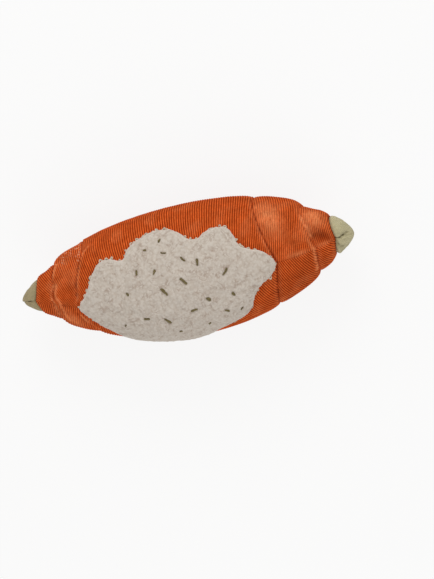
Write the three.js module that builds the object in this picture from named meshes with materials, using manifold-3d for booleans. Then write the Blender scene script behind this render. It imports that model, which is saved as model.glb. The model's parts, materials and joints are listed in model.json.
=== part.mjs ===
// A stuffed dog toy in the shape of a loaded sweet potato: two tucked corduroy covers, green sewn tips, a
// fleece topping with embroidered chives, fibre filling in two wads and a squeaker between them.
// Millimetres, +Z up. +X runs from the pointed tip to the round one. The toy lies on its back seam with the
// topping up, and the origin is the middle of its footprint.
import * as THREE from 'three';
import { mergeVertices } from 'three/addons/utils/BufferGeometryUtils.js';
import Module from 'manifold-3d';

const wasm = await Module();
wasm.setup();

// The spindle
const HALF_LENGTH = 141.2;
const HALF_WIDTH = 54.6;
const DEPTH_TO_WIDTH = 0.88; // in the middle; the ends are round
const SPINDLE_END = 137.5; // where the spindle's curve would meet its axis
const FULLNESS = 0.665; // 1 is a plain lens, and less is plumper
const RIGHT_END_PLUMPER = 0.0004; // per mm along the toy
const SAG_SIDEWAYS = 4.9; // how far the middle bows towards -Y
const SAG_END = 130;
const FLAT_DEPTH = 1.1; // how far the lowest part of the spindle is pressed flat, beside the back seam
const AXIS_HEIGHT = HALF_WIDTH * DEPTH_TO_WIDTH - FLAT_DEPTH;
const AXIS_Y = 4.85; // brings the bowed toy back over the middle of its footprint

// The tips
const LEFT_JOIN = 130; // how far from the middle the tips are sewn to the covers
const RIGHT_JOIN = 127;
const POINTED_DROOP = -0.8; // towards -Y at its end
const ROUND_DROOP = 2.2;
const TIP_STEP = 0.5; // how far a tip's base stands inside the cover's edge
// Each tip's outline: share of its length, and radius against the base
const POINTED_TIP = [
  [0, 1], [0.15, 0.885], [0.3, 0.77], [0.5, 0.61], [0.7, 0.44], [0.85, 0.31], [0.95, 0.2], [1, 0.08],
];
const ROUND_TIP = [
  [0, 1], [0.15, 0.985], [0.3, 0.915], [0.5, 0.78], [0.7, 0.57], [0.85, 0.38], [0.95, 0.23], [1, 0.08],
];

// The cloth
const CLOTH = 1.2;
const GAP = 0.3; // between neighbouring pieces
const SEAM_ALLOWANCE = 6; // turned inwards along the front and back seams
const ALLOWANCE_SHARE = 0.4; // the most that it takes of the toy's half width, near the ends
const SEAM_DEPTH = 0.6;
const SEAM_REACH = 2.3;

// The sewn tucks. Each leaves the front seam at its station, leans along the toy as it goes round the upper
// and the lower cover, and comes back to its station at the back seam. Seam is how many degrees the two seams
// have wandered round the toy there, in front towards the upper cover. Each pulls the cloth down by its
// depth, and reaches a distance before it and after it.
const TUCKS = [
  { station: -113.5, depth: 2.6, before: 3.4, after: 2.4, leanUpper: 4, leanLower: 1, seam: -9 },
  { station: -92.5, depth: 2.2, before: 6, after: 1.6, leanUpper: 6, leanLower: 11, seam: -7 },
  { station: 77.5, depth: 1.7, before: 2.6, after: 3, leanUpper: -13, leanLower: -9, seam: 3.2 },
  { station: 107.5, depth: 3, before: 2, after: 6.5, leanUpper: -7, leanLower: 0.5, seam: 1 },
];
// The covers' ends, drawn in where the tips are sewn to them
const ENDS = [
  { station: -LEFT_JOIN, depth: 0.6, before: 4.5, after: 4.5, leanUpper: 4.2, leanLower: 4.2, seam: -12 },
  { station: RIGHT_JOIN, depth: 2.4, before: 4.5, after: 4.5, leanUpper: -2.5, leanLower: -2.5, seam: 2 },
];
// Hollows in the stuffing: reaches along the toy and, in radians, round it
const HOLLOWS = [
  { station: 114.5, turn: 0.38, along: 4.2, round: 0.24, depth: 2.2 },
  { station: 117, turn: 1.9, along: 6.5, round: 0.5, depth: 2.4 },
  { station: -120.5, turn: 1.9, along: 6, round: 0.6, depth: 2.4 },
  { station: -120.5, turn: -1.2, along: 6, round: 0.5, depth: 2 },
];
const MIDDLE = { station: 0, leanUpper: 0, leanLower: 0, seam: 0 };
const LINES = [ENDS[0], TUCKS[0], TUCKS[1], MIDDLE, TUCKS[2], TUCKS[3], ENDS[1]];

// The topping's wavy edge: [along the toy, round it from the front seam], going round from the left cusp
const TOPPING_EDGE = [
  [-91, 2], [-83, 15], [-77, 29], [-70, 38], [-60, 40], [-48, 38], [-43, 47], [-33, 54], [-18, 59.5],
  [-4, 57], [6, 50], [14, 43], [21, 41], [29, 45], [40, 45.5], [50, 42], [54, 33], [56, 24], [64, 18],
  [73, 13], [77.5, 1], [73, -8], [64, -13], [57, -21], [53, -31], [46, -39], [34, -44], [20, -49],
  [6, -57], [-12, -62], [-30, -57], [-46, -52], [-62, -41], [-75, -24], [-84, -11],
];
const TOPPING_CENTRE = [-8, -3];
const TOPPING_STEPS = 84; // points round the edge
const TOPPING_RINGS = [
  { share: 0.22, pile: 1 },
  { share: 0.42, pile: 1 },
  { share: 0.6, pile: 1 },
  { share: 0.76, pile: 1 },
  { share: 0.9, pile: 0.95 },
  { share: 0.97, pile: 0.76 },
  { share: 1, pile: 0.36 },
]; // rings from the centre out: share of the way to the edge, and height against the full pile
const PILE = 4;
const UNDER_TOPPING = -5; // deep enough to reach below every tuck before the underside is cut to fit

// The embroidered chives: [along, round from the front seam, turned from the toy's length in degrees, length,
// width]
const CHIVES = [
  [-13, 47, 58, 3.5, 1.3], [-26.9, 41.6, -8, 2.6, 1.3], [-11, 36, -20, 4.6, 1.3], [-37, 25.3, 82, 4.3, 1.7],
  [-22, 23, 64, 4.4, 1.6], [5, 27.2, -56, 5, 1.7], [16.8, 21.8, 80, 5.6, 1.9], [37, 8.5, 42, 6.8, 1.8],
  [1, 10.1, -55, 7.3, 2.3], [-17.1, 5.7, -58, 7.7, 2.4], [-48, 9.9, -52, 3, 2], [17.6, -9.8, -42, 4.2, 2.6],
  [39.5, -11.3, -66, 3.9, 1.9], [-38.5, -14.2, -12, 5, 1.8], [-22, -20.4, -62, 7, 2.2],
  [3.4, -16.8, 6, 5.8, 1.9], [31, -25, -41, 4, 1.7], [43.8, -27.2, 48, 2.9, 1], [-59, -17.4, 50, 2.5, 1.1],
  [13, -33.8, 28, 2.6, 1.1], [-14.5, -35.7, -8, 2.6, 1.1],
];
const CHIVE_THICKNESS = 1.2;
const CHIVE_END_STEPS = 2;
const CHIVE_SIDES = 6;

// The squeaker, on an axis along X
const SQUEAKER_RADIUS = 23;
const SQUEAKER_WALL = 1.2;
const NECK_RADIUS = 8.5;
const NECK_LENGTH = 7;
const PLUG_FLANGE_RADIUS = 9.5;
const PLUG_FLANGE = 1.5;
const PLUG_LENGTH = 12;
const PLUG_BORE = 3.8;
const REED_LENGTH = 10;
const REED_WIDTH = 4;
const REED_THICKNESS = 0.5;
const REED_INSET = 1; // from the plug's inner end
const GROOVE_WIDTH = 2; // of the air groove under the reed
const GROOVE_DEPTH = 1.2;
const SQUEAKER_FACETS = 20;
const BALL_STEPS = 8;

// How finely the cloth is divided
const SEAM_COLUMNS = [0.05, 1.5, 6.5]; // from the fold of a cover's edge
const COLUMNS_TO_SIDE = 7; // from there to halfway round the cover
const STATION_COUNTS = [4, 5, 13, 5, 4]; // between the ends and the tucks
const TIP_COLUMNS = 9;
const COLUMN_CROWDING = 0.5; // 0 is even, and 1 is crowded towards both ends
const STATION_CROWDING = 0.9;
const FILLED_TIP_STEPS = [1, 2, 4, 5];
const FILLING_INSET = 2.6; // below the outside of the cloth
const TIP_SLOT = 0.15; // radians

const corduroy = new THREE.MeshStandardMaterial({ color: 0xb8481f, roughness: 0.95, metalness: 0 });
const tipCloth = new THREE.MeshStandardMaterial({ color: 0xb5b18c, roughness: 0.95, metalness: 0 });
const fleece = new THREE.MeshStandardMaterial({ color: 0xd6cec2, roughness: 1, metalness: 0 });
const chiveThread = new THREE.MeshStandardMaterial({ color: 0x5d5a36, roughness: 0.7, metalness: 0 });
const fibre = new THREE.MeshStandardMaterial({ color: 0xf1efe8, roughness: 1, metalness: 0 });
const softPlastic = new THREE.MeshStandardMaterial({ color: 0xe9ecec, roughness: 0.4, metalness: 0 });
const brass = new THREE.MeshStandardMaterial({ color: 0xc9a54b, roughness: 0.35, metalness: 0.9 });

// A value part of the way between the two sewn lines that a station lies between.
function between(station, field) {
  const inside = THREE.MathUtils.clamp(station, -LEFT_JOIN, RIGHT_JOIN);
  const next = Math.max(1, LINES.findIndex((line) => line.station >= inside));
  const [a, b] = [LINES[next - 1], LINES[next]];
  return THREE.MathUtils.mapLinear(inside, a.station, b.station, a[field], b[field]);
}

function halfWidth(x) {
  const lens = 1 - (x / SPINDLE_END) ** 2;
  return HALF_WIDTH * lens ** FULLNESS * (1 + RIGHT_END_PLUMPER * x);
}

function depthRatio(x) {
  return 1 - (1 - DEPTH_TO_WIDTH) * (1 - (x / SPINDLE_END) ** 2);
}

function bow(x) {
  return AXIS_Y - SAG_SIDEWAYS * (1 - (x / SAG_END) ** 2) ** 2;
}

function join(side) {
  return side < 0 ? LEFT_JOIN : RIGHT_JOIN;
}

function tipLength(side) {
  return HALF_LENGTH - join(side);
}

function tipShape(side) {
  return side < 0 ? POINTED_TIP : ROUND_TIP;
}

// Radius of a tip at a distance beyond its join, against its radius there.
function tipTaper(side, beyond) {
  const shape = tipShape(side);
  const share = Math.min(beyond / tipLength(side), 1);
  const next = Math.max(1, shape.findIndex(([at]) => at >= share));
  const [[from, radius], [to, nextRadius]] = [shape[next - 1], shape[next]];
  return THREE.MathUtils.mapLinear(share, from, to, radius, nextRadius);
}

function tipBase(side, turn) {
  const edge = ENDS[side < 0 ? 0 : 1];
  return halfWidth(edge.station + edge.leanUpper * Math.abs(Math.sin(turn))) - edge.depth - TIP_STEP;
}

// Stations of a tip, from its join outwards.
function tipStations(end) {
  const beyond = tipShape(end).map(([share]) => Math.max(GAP / 2, tipLength(end) * share));
  return beyond.map((distance) => end * (join(end) + distance));
}

// How far the sewing pulls the cloth in at a place.
function pinch(station, turn, radius) {
  const toSeam = Math.min(Math.abs(turn), Math.PI - Math.abs(turn)) * radius;
  const drawn = [...TUCKS, ...ENDS].map((line) => {
    const away = station - line.station;
    return line.depth * Math.exp(away < 0 ? away / line.before : -away / line.after);
  });
  const hollow = HOLLOWS.reduce((sum, { station: middle, turn: facing, along, round, depth }) => {
    return sum + depth * Math.exp(-(((station - middle) / along) ** 2) - ((turn - facing) / round) ** 2);
  }, 0);
  return Math.max(...drawn) + SEAM_DEPTH * Math.exp(-toSeam / SEAM_REACH) + hollow;
}

// A point of the toy. The station is where it would reach the front seam, and the turn goes round from that
// seam, positive over the upper cover. Out is the distance outside the cloth's face, negative inside.
function surface(station, turn, out, sewn = true) {
  const side = Math.sign(station);
  const beyond = Math.max(0, Math.abs(station) - join(side));
  const taper = 1 - beyond / tipLength(side);
  const leaning = between(station, turn < 0 ? 'leanLower' : 'leanUpper') * Math.abs(Math.sin(turn)) * taper;
  let x, width, depth;
  if (beyond > 0) {
    x = side * (join(side) + beyond * (1 + out / tipLength(side))) + leaning;
    width = tipTaper(side, beyond) * (tipBase(side, turn) + out);
    depth = width * depthRatio(join(side));
  } else {
    x = station + leaning;
    const pulled = sewn ? pinch(station, turn, halfWidth(x)) : 0;
    width = halfWidth(x) - pulled + out;
    depth = halfWidth(x) * depthRatio(x) - pulled + out;
  }
  const angle = turn + THREE.MathUtils.degToRad(between(station, 'seam'));
  const droop = (side < 0 ? POINTED_DROOP : ROUND_DROOP) * (1 - taper);
  const y = bow(x) - droop + width * Math.sin(angle);
  const z = AXIS_HEIGHT + depth * Math.cos(angle);
  return new THREE.Vector3(x, y, Math.max(z, -out));
}

// Distances from one value to another that crowd towards both.
function spread(from, to, count, crowding) {
  return Array.from({ length: count + 1 }, (_, i) => {
    const share = (1 - Math.cos((Math.PI * i) / count)) / 2;
    return THREE.MathUtils.lerp(from, to, THREE.MathUtils.lerp(i / count, share, crowding));
  });
}

function coverStations() {
  const knots = [-LEFT_JOIN + GAP / 2, ...TUCKS.map((tuck) => tuck.station), RIGHT_JOIN - GAP / 2];
  const stretches = STATION_COUNTS.map((count, i) => spread(knots[i], knots[i + 1], count, STATION_CROWDING));
  return stretches.flatMap((stretch, i) => (i ? stretch.slice(1) : stretch));
}

function toGeometry(points, faces) {
  const geometry = new THREE.BufferGeometry().setFromPoints(points);
  geometry.setIndex(faces);
  geometry.computeVertexNormals();
  return geometry;
}

// A closed sheet between two grids of points, rows along the toy by columns round it.
function sheet(outer, inner) {
  const rows = outer.length;
  const columns = outer[0].length;
  const at = (i, j) => i * columns + j;
  const under = (i, j) => rows * columns + at(i, j);
  const faces = [];
  const quad = (a, b, c, d) => faces.push(a, b, c, a, c, d);
  for (let i = 0; i < rows - 1; i++) {
    for (let j = 0; j < columns - 1; j++) {
      quad(at(i, j), at(i + 1, j), at(i + 1, j + 1), at(i, j + 1));
      quad(under(i, j), under(i, j + 1), under(i + 1, j + 1), under(i + 1, j));
    }
    quad(at(i, 0), under(i, 0), under(i + 1, 0), at(i + 1, 0));
    quad(at(i, columns - 1), at(i + 1, columns - 1), under(i + 1, columns - 1), under(i, columns - 1));
  }
  for (let j = 0; j < columns - 1; j++) {
    quad(at(0, j), at(0, j + 1), under(0, j + 1), under(0, j));
    quad(at(rows - 1, j), under(rows - 1, j), under(rows - 1, j + 1), at(rows - 1, j + 1));
  }
  return toGeometry([...outer.flat(), ...inner.flat()], faces);
}

// A closed solid through rings of points, each ring going round from the front seam.
function loft(rings) {
  const columns = rings[0].length;
  const faces = [];
  const last = rings.length - 1;
  const [start, end] = [rings.length * columns, rings.length * columns + 1];
  for (let j = 0; j < columns; j++) {
    const next = (j + 1) % columns;
    for (let i = 0; i < last; i++) {
      const [a, b] = [i * columns + j, i * columns + next];
      faces.push(a, a + columns, b + columns, a, b + columns, b);
    }
    faces.push(start, j, next, end, last * columns + next, last * columns + j);
  }
  const middle = (ring) => ring.reduce((sum, p) => sum.add(p), new THREE.Vector3()).divideScalar(ring.length);
  return toGeometry([...rings.flat(), middle(rings[0]), middle(rings[last])], faces);
}

function toSolid(geometry) {
  const bare = geometry.clone();
  bare.deleteAttribute('normal');
  bare.deleteAttribute('uv');
  const merged = mergeVertices(bare, 1e-4);
  const vertProperties = merged.getAttribute('position').array;
  const triVerts = new Uint32Array(merged.index.array);
  return new wasm.Manifold(new wasm.Mesh({ numProp: 3, vertProperties, triVerts }));
}

function fromSolid(solid) {
  const mesh = solid.getMesh();
  const geometry = new THREE.BufferGeometry();
  geometry.setAttribute('position', new THREE.BufferAttribute(mesh.vertProperties, 3));
  geometry.setIndex(new THREE.BufferAttribute(mesh.triVerts, 1));
  geometry.computeVertexNormals();
  return geometry;
}

// How deep the turned-in edge of a cover reaches at a station.
function allowance(station) {
  return Math.min(SEAM_ALLOWANCE, ALLOWANCE_SHARE * halfWidth(station));
}

// Columns of a cover at a station, from one seam to the other: two in the turned-in edge at each end.
function coverColumns(station) {
  const radius = halfWidth(station);
  const fold = GAP / 2 + CLOTH;
  const nearSeam = [GAP / 2, fold, ...SEAM_COLUMNS.map((distance) => fold + distance)].map((d) => d / radius);
  const toSide = Array.from({ length: COLUMNS_TO_SIDE }, (_, i) =>
    THREE.MathUtils.lerp(nearSeam.at(-1), Math.PI / 2, (i + 1) / COLUMNS_TO_SIDE),
  );
  const half = [...nearSeam, ...toSide];
  return [...half, ...half.slice(0, -1).reverse().map((turn) => Math.PI - turn)];
}

// One of the two corduroy covers, from the front seam round to the back seam, with its edges turned in.
function coverGeometry(side) {
  const grid = (depthOf) =>
    coverStations().map((station) => {
      const columns = coverColumns(station);
      const atSeam = (j) => j < 2 || j > columns.length - 3;
      const row = columns.map((turn, j) => surface(station, side * turn, -depthOf(station, atSeam(j))));
      return side < 0 ? row.reverse() : row;
    });
  return sheet(
    grid(() => 0),
    grid((station, atSeam) => (atSeam ? allowance(station) : CLOTH)),
  );
}

// One half of a tip, sewn to its twin along the same seams as the covers.
function tipGeometry(end, side) {
  const stations = tipStations(end);
  if (end < 0) stations.reverse();
  const grid = (out) =>
    stations.map((station) => {
      const radius = tipTaper(end, Math.abs(station) - join(end)) * tipBase(end, 0);
      const edge = Math.asin(GAP / 2 / radius);
      const turns = spread(edge, Math.PI - edge, TIP_COLUMNS, COLUMN_CROWDING);
      const row = turns.map((turn) => surface(station, side * turn, out));
      return side < 0 ? row.reverse() : row;
    });
  return sheet(grid(0), grid(-CLOTH));
}

// The inside of the covers and tips at a station, with a slot at each seam for the turned-in edges.
function fillingRing(station) {
  const side = Math.sign(station);
  const inTip = Math.abs(station) > join(side);
  const face = -FILLING_INSET;
  const nearest = coverColumns(side * Math.min(Math.abs(station), join(side) - GAP / 2)).slice(3, -3);
  const sparse = nearest.filter((_, i) => i < 2 || i > nearest.length - 3 || i % 2 === 1);
  const even = spread(TIP_SLOT * 2, Math.PI - TIP_SLOT * 2, sparse.length - 1, COLUMN_CROWDING);
  const open = inTip ? even : sparse;
  const slot = inTip ? TIP_SLOT : (GAP * 1.5 + CLOTH) / halfWidth(station);
  const slotFace = inTip ? face - GAP : -(allowance(station) + 3 * GAP + SEAM_DEPTH);
  const shallow = [slot, ...open, Math.PI - slot];
  const half = [
    [slot, slotFace],
    ...shallow.map((turn) => [turn, face]),
    [Math.PI - slot, slotFace],
  ];
  const upper = half.map(([turn, out]) => surface(station, turn, out));
  const lower = half.map(([turn, out]) => surface(station, -turn, out)).reverse();
  return [...upper, ...lower];
}

// One wad of fibre, from the middle of the toy out into a tip, with its half of the squeaker's pocket.
function fillingGeometry(end, pocket) {
  const body = coverStations().filter((station) => station * end > GAP);
  const tip = tipStations(end).filter((_, step) => FILLED_TIP_STEPS.includes(step));
  const stations = end < 0 ? [...tip.reverse(), ...body, -GAP / 2] : [GAP / 2, ...body, ...tip];
  return fromSolid(toSolid(loft(stations.map(fillingRing))).subtract(pocket));
}

// The toy's outer face as one solid, a little proud of the covers, to cut what lies on them.
function envelopeGeometry(out) {
  const rings = coverStations().map((station) => {
    const columns = coverColumns(station);
    const upper = columns.map((turn) => surface(station, turn, out));
    const lower = columns.map((turn) => surface(station, -turn, out)).reverse();
    return [...upper, ...lower];
  });
  return loft(rings);
}

// A point over the topping, from a distance along the toy and one round it.
function onTopping(along, round, out) {
  return surface(along, round / halfWidth(along), out, false);
}

// The topping's edge as evenly spaced points.
function toppingEdge() {
  const points = TOPPING_EDGE.map(([along, round]) => new THREE.Vector3(along, round, 0));
  return new THREE.CatmullRomCurve3(points, true, 'centripetal').getSpacedPoints(TOPPING_STEPS).slice(0, -1);
}

// The fleece topping: rings of points drawn in from its edge, cut to lie on the covers.
function toppingGeometry() {
  const edge = toppingEdge();
  const [centreAlong, centreRound] = TOPPING_CENTRE;
  const ring = (share, out) =>
    edge.map((p) =>
      onTopping(
        THREE.MathUtils.lerp(centreAlong, p.x, share),
        THREE.MathUtils.lerp(centreRound, p.y, share),
        out,
      ),
    );
  const top = TOPPING_RINGS.map(({ share, pile }) => ring(share, GAP + PILE * pile));
  const bottom = TOPPING_RINGS.map(({ share }) => ring(share, UNDER_TOPPING));
  const rings = [...top, ...bottom.reverse()];
  const points = [...rings.flat(), onTopping(centreAlong, centreRound, GAP + PILE)];
  points.push(onTopping(centreAlong, centreRound, UNDER_TOPPING));
  const count = edge.length;
  const faces = [];
  for (let j = 0; j < count; j++) {
    const next = (j + 1) % count;
    for (let i = 0; i < rings.length - 1; i++) {
      const [a, b] = [i * count + j, i * count + next];
      faces.push(a, b + count, a + count, a, b, b + count);
    }
    const last = (rings.length - 1) * count;
    faces.push(points.length - 2, next, j, points.length - 1, last + j, last + next);
  }
  const blob = toSolid(toGeometry(points, faces));
  return fromSolid(blob.subtract(toSolid(envelopeGeometry(GAP))));
}

// An embroidered chive: a flattened bar of stitches lying on the pile.
function chiveMesh(index) {
  const [along, round, degrees, length, width] = CHIVES[index];
  const body = new THREE.CapsuleGeometry(width / 2, length - width, CHIVE_END_STEPS, CHIVE_SIDES);
  body.rotateZ(-Math.PI / 2);
  body.scale(1, 1, CHIVE_THICKNESS / width);
  const height = GAP * 2 + PILE + CHIVE_THICKNESS / 2;
  const place = onTopping(along, round, height);
  const forward = onTopping(along + 1, round, height).sub(place).normalize();
  const sideways = onTopping(along, round + 1, height).sub(place).normalize();
  const up = forward.clone().cross(sideways).normalize();
  const lengthways = forward.clone().applyAxisAngle(up, THREE.MathUtils.degToRad(degrees));
  const axes = new THREE.Matrix4().makeBasis(lengthways, up.clone().cross(lengthways), up);
  const chive = piece(`chive_${String(index + 1).padStart(2, '0')}`, body, chiveThread);
  chive.quaternion.setFromRotationMatrix(axes);
  chive.position.copy(place);
  return chive;
}

// A shape turned about X from points given as [along X, radius].
function turnedAboutX(profile) {
  const points = profile.map(([along, radius]) => new THREE.Vector2(radius, along));
  return new THREE.LatheGeometry(points, SQUEAKER_FACETS).rotateZ(-Math.PI / 2);
}

// Points of a ball's outline from its back pole to where it meets a neck.
function ballProfile(radius, neck) {
  const stop = Math.PI - Math.asin(neck / radius);
  return Array.from({ length: BALL_STEPS + 1 }, (_, i) => {
    const angle = (stop * i) / BALL_STEPS;
    return [-radius * Math.cos(angle), radius * Math.sin(angle)];
  });
}

function squeakerBulb() {
  const inside = SQUEAKER_RADIUS - SQUEAKER_WALL;
  const neckEnd = SQUEAKER_RADIUS + NECK_LENGTH;
  return turnedAboutX([
    ...ballProfile(SQUEAKER_RADIUS, NECK_RADIUS),
    [neckEnd, NECK_RADIUS],
    [neckEnd, NECK_RADIUS - SQUEAKER_WALL],
    ...ballProfile(inside, NECK_RADIUS - SQUEAKER_WALL).reverse(),
  ]);
}

function squeakerPlug() {
  const mouth = SQUEAKER_RADIUS + NECK_LENGTH + GAP;
  const barrel = NECK_RADIUS - SQUEAKER_WALL - GAP;
  return turnedAboutX([
    [mouth - PLUG_LENGTH, PLUG_BORE],
    [mouth - PLUG_LENGTH, barrel],
    [mouth, barrel],
    [mouth, PLUG_FLANGE_RADIUS],
    [mouth + PLUG_FLANGE, PLUG_FLANGE_RADIUS],
    [mouth + PLUG_FLANGE, PLUG_BORE],
    [mouth - PLUG_LENGTH, PLUG_BORE],
  ]);
}

// The reed's block: a length of half-round rod with a groove down its flat that the air goes through.
function reedBlock() {
  const radius = PLUG_BORE - GAP;
  const shape = new THREE.Shape();
  shape.moveTo(-radius, 0);
  shape.absarc(0, 0, radius, Math.PI, 2 * Math.PI, false);
  shape.lineTo(GROOVE_WIDTH / 2, 0);
  shape.lineTo(GROOVE_WIDTH / 2, -GROOVE_DEPTH);
  shape.lineTo(-GROOVE_WIDTH / 2, -GROOVE_DEPTH);
  shape.lineTo(-GROOVE_WIDTH / 2, 0);
  shape.closePath();
  const options = { depth: REED_LENGTH, bevelEnabled: false, curveSegments: SQUEAKER_FACETS / 2 };
  const block = new THREE.ExtrudeGeometry(shape, options);
  return block.rotateX(Math.PI / 2).rotateZ(Math.PI / 2);
}

// The space the squeaker takes up in the filling.
function squeakerPocket() {
  const radius = SQUEAKER_RADIUS + GAP;
  const end = SQUEAKER_RADIUS + NECK_LENGTH + PLUG_FLANGE + 2 * GAP;
  const waist = PLUG_FLANGE_RADIUS + GAP;
  return toSolid(turnedAboutX([...ballProfile(radius, waist), [end, waist], [end, 0]]));
}

function squeaker() {
  const group = new THREE.Group();
  group.position.set(0, bow(0), AXIS_HEIGHT);
  const reedStart = SQUEAKER_RADIUS + NECK_LENGTH - PLUG_LENGTH + REED_INSET;
  const block = piece('squeaker_reed_block', reedBlock(), softPlastic);
  block.position.x = reedStart;
  const strip = new THREE.BoxGeometry(REED_LENGTH, REED_WIDTH, REED_THICKNESS);
  const reed = piece('squeaker_reed', strip, brass);
  reed.position.set(reedStart + REED_LENGTH / 2, 0, GAP + REED_THICKNESS / 2);
  group.add(
    piece('squeaker_bulb', squeakerBulb(), softPlastic),
    piece('squeaker_plug', squeakerPlug(), softPlastic),
    block,
    reed,
  );
  return group;
}

function piece(name, geometry, material) {
  const mesh = new THREE.Mesh(geometry, material);
  mesh.name = name;
  return mesh;
}

function outerPieces() {
  const group = new THREE.Group();
  group.add(
    piece('upper_cover', coverGeometry(1), corduroy),
    piece('lower_cover', coverGeometry(-1), corduroy),
    piece('pointed_tip_upper', tipGeometry(-1, 1), tipCloth),
    piece('pointed_tip_lower', tipGeometry(-1, -1), tipCloth),
    piece('round_tip_upper', tipGeometry(1, 1), tipCloth),
    piece('round_tip_lower', tipGeometry(1, -1), tipCloth),
    piece('fleece_topping', toppingGeometry(), fleece),
  );
  CHIVES.forEach((_, index) => group.add(chiveMesh(index)));
  return group;
}

function filling() {
  const group = new THREE.Group();
  const pocket = squeakerPocket().translate([0, bow(0), AXIS_HEIGHT]);
  group.add(
    piece('left_filling', fillingGeometry(-1, pocket), fibre),
    piece('right_filling', fillingGeometry(1, pocket), fibre),
  );
  return group;
}

const toy = new THREE.Group();
toy.name = 'dog_toy';
toy.add(outerPieces(), filling(), squeaker());

export default toy;
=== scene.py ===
import json
import math

import bpy
import numpy as np
from mathutils import Matrix, Vector
from mathutils.geometry import delaunay_2d_cdt
from mathutils.kdtree import KDTree

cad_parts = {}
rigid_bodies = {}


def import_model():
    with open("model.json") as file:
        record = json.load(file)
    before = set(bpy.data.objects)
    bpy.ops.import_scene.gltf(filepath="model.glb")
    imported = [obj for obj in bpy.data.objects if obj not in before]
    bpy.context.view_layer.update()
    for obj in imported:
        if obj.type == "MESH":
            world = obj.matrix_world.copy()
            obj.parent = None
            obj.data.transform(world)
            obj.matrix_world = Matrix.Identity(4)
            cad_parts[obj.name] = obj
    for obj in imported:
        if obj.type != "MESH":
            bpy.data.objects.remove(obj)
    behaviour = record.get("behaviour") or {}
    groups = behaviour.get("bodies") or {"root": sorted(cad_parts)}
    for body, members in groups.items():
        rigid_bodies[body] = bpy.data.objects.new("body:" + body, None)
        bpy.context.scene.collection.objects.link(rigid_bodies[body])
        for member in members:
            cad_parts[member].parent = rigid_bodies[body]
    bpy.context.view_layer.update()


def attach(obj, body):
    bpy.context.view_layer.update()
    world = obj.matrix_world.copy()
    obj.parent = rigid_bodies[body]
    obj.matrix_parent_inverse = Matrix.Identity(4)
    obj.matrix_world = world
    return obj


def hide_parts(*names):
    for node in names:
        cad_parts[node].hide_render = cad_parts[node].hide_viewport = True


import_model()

MM = 0.001
BODY = "root"

# The spindle, a lens that is fuller than an ellipse and bows towards -Y in its middle
HALF_WIDTH = 54.6
DEPTH_TO_WIDTH = 0.88
SPINDLE_END = 137.5
FULLNESS = 0.665
RIGHT_END_PLUMPER = 0.0004  # for each millimetre
SAG_SIDEWAYS = 4.9
SAG_END = 130
FLAT_DEPTH = 1.1  # how far its lowest part is pressed flat
AXIS_HEIGHT = HALF_WIDTH * DEPTH_TO_WIDTH - FLAT_DEPTH
AXIS_Y = 4.85  # brings the bowed toy back over the middle of its footprint

# The tips: where each is sewn to the covers and where it ends, and its radius at even steps, against its base
JOIN = {-1: 130, 1: 127}
TIP_END = {-1: 142.2, 1: 141.6}
TIP_DROOP = {-1: 1.4, 1: 2.4}  # of each tip's end towards -Y
TIP_STEP = 0.5  # how far a tip's base stands inside the covers' edge
END_LEAN = {-1: 4.2, 1: 2.5}  # how far each join leans inwards, on the toy's sides
TIP_SHAPE = {
    -1: [1, 0.905, 0.805, 0.695, 0.58, 0.45, 0.32, 0.2],
    1: [1, 0.985, 0.92, 0.83, 0.71, 0.565, 0.43, 0.3],
}

# The sewn lines across the covers, from the left join to the right one. The middle one isn't sewn. Each is
# drawn in by its depth and leans along the toy as it goes round, and the two long seams wander by some
# degrees from line to line.
STATIONS = [-JOIN[-1], -113.5, -92.5, 0, 78.2, 111, JOIN[1]]
DEPTHS = [0.6, 2.9, 2.2, 0, 1.5, 3.2, 2.4]
LEANS_UPPER = [4.2, 4, 6, 0, -12.6, -8.3, -2.5]
LEANS_LOWER = [4.2, 2.5, 11, 0, -9.6, -3.2, -2.5]
BENDS = [0, 0, 6, 0, 0, 0, 0]  # how far each leans further, on the toy's sides
SEAMS = [-1, -2, -8, 0, 3.2, 1, 2]
SEWN = [k for k, depth in enumerate(DEPTHS) if depth]
LINES = [STATIONS[k] for k in SEWN]
PANELS = list(zip(LINES, LINES[1:]))
REACH_LEFT = [4.5, 3.4, 6.0, 1, 2.6, 2.0, 4.5]  # how far each line pulls the cloth down on its two sides
REACH_RIGHT = [4.5, 1.9, 1.2, 1, 3.0, 6.5, 4.5]
SEAM_DEPTH = 0.25  # how far the long seams draw the covers in
SEAM_REACH = 2.2
# Ridges and hollows beside the sewn lines: along the toy and round it in radians, how far each reaches along
# and round, and how deep it is. A ridge is less than nothing deep.
CRUMPLES = [
    [108.8, 0.6, 1.5, 0.5, -1.1],
    [116.5, 0.42, 4.2, 0.26, 2.6],
    [120.5, 0.2, 3.0, 0.22, 0.8],
    [120.5, 0.95, 3.2, 0.35, -0.8],
    [113.6, -0.3, 1.6, 0.3, 0.9],
    [108.2, -0.45, 1.5, 0.3, -0.5],
    [-101.0, 0.1, 5.0, 0.12, -0.4],
    [-104.0, 1.05, 4.0, 0.3, -0.7],
    [-98.0, 1.5, 4.5, 0.3, 0.6],
    [73.5, 0.25, 2.4, 0.3, -0.4],
    [84.0, 0.9, 4.5, 0.5, -0.6],
    [94.0, -0.7, 9.0, 0.3, 0.5],
    [102.0, 0.15, 6.0, 0.12, -0.4],
    [117.0, 1.9, 6.5, 0.5, 2.4],
    [-120.5, 1.9, 6.0, 0.6, 2.4],
    [-120.5, -1.2, 6.0, 0.5, 2.0],
    [-92.8, 1.95, 2.4, 0.35, -1.5],
]

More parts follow.
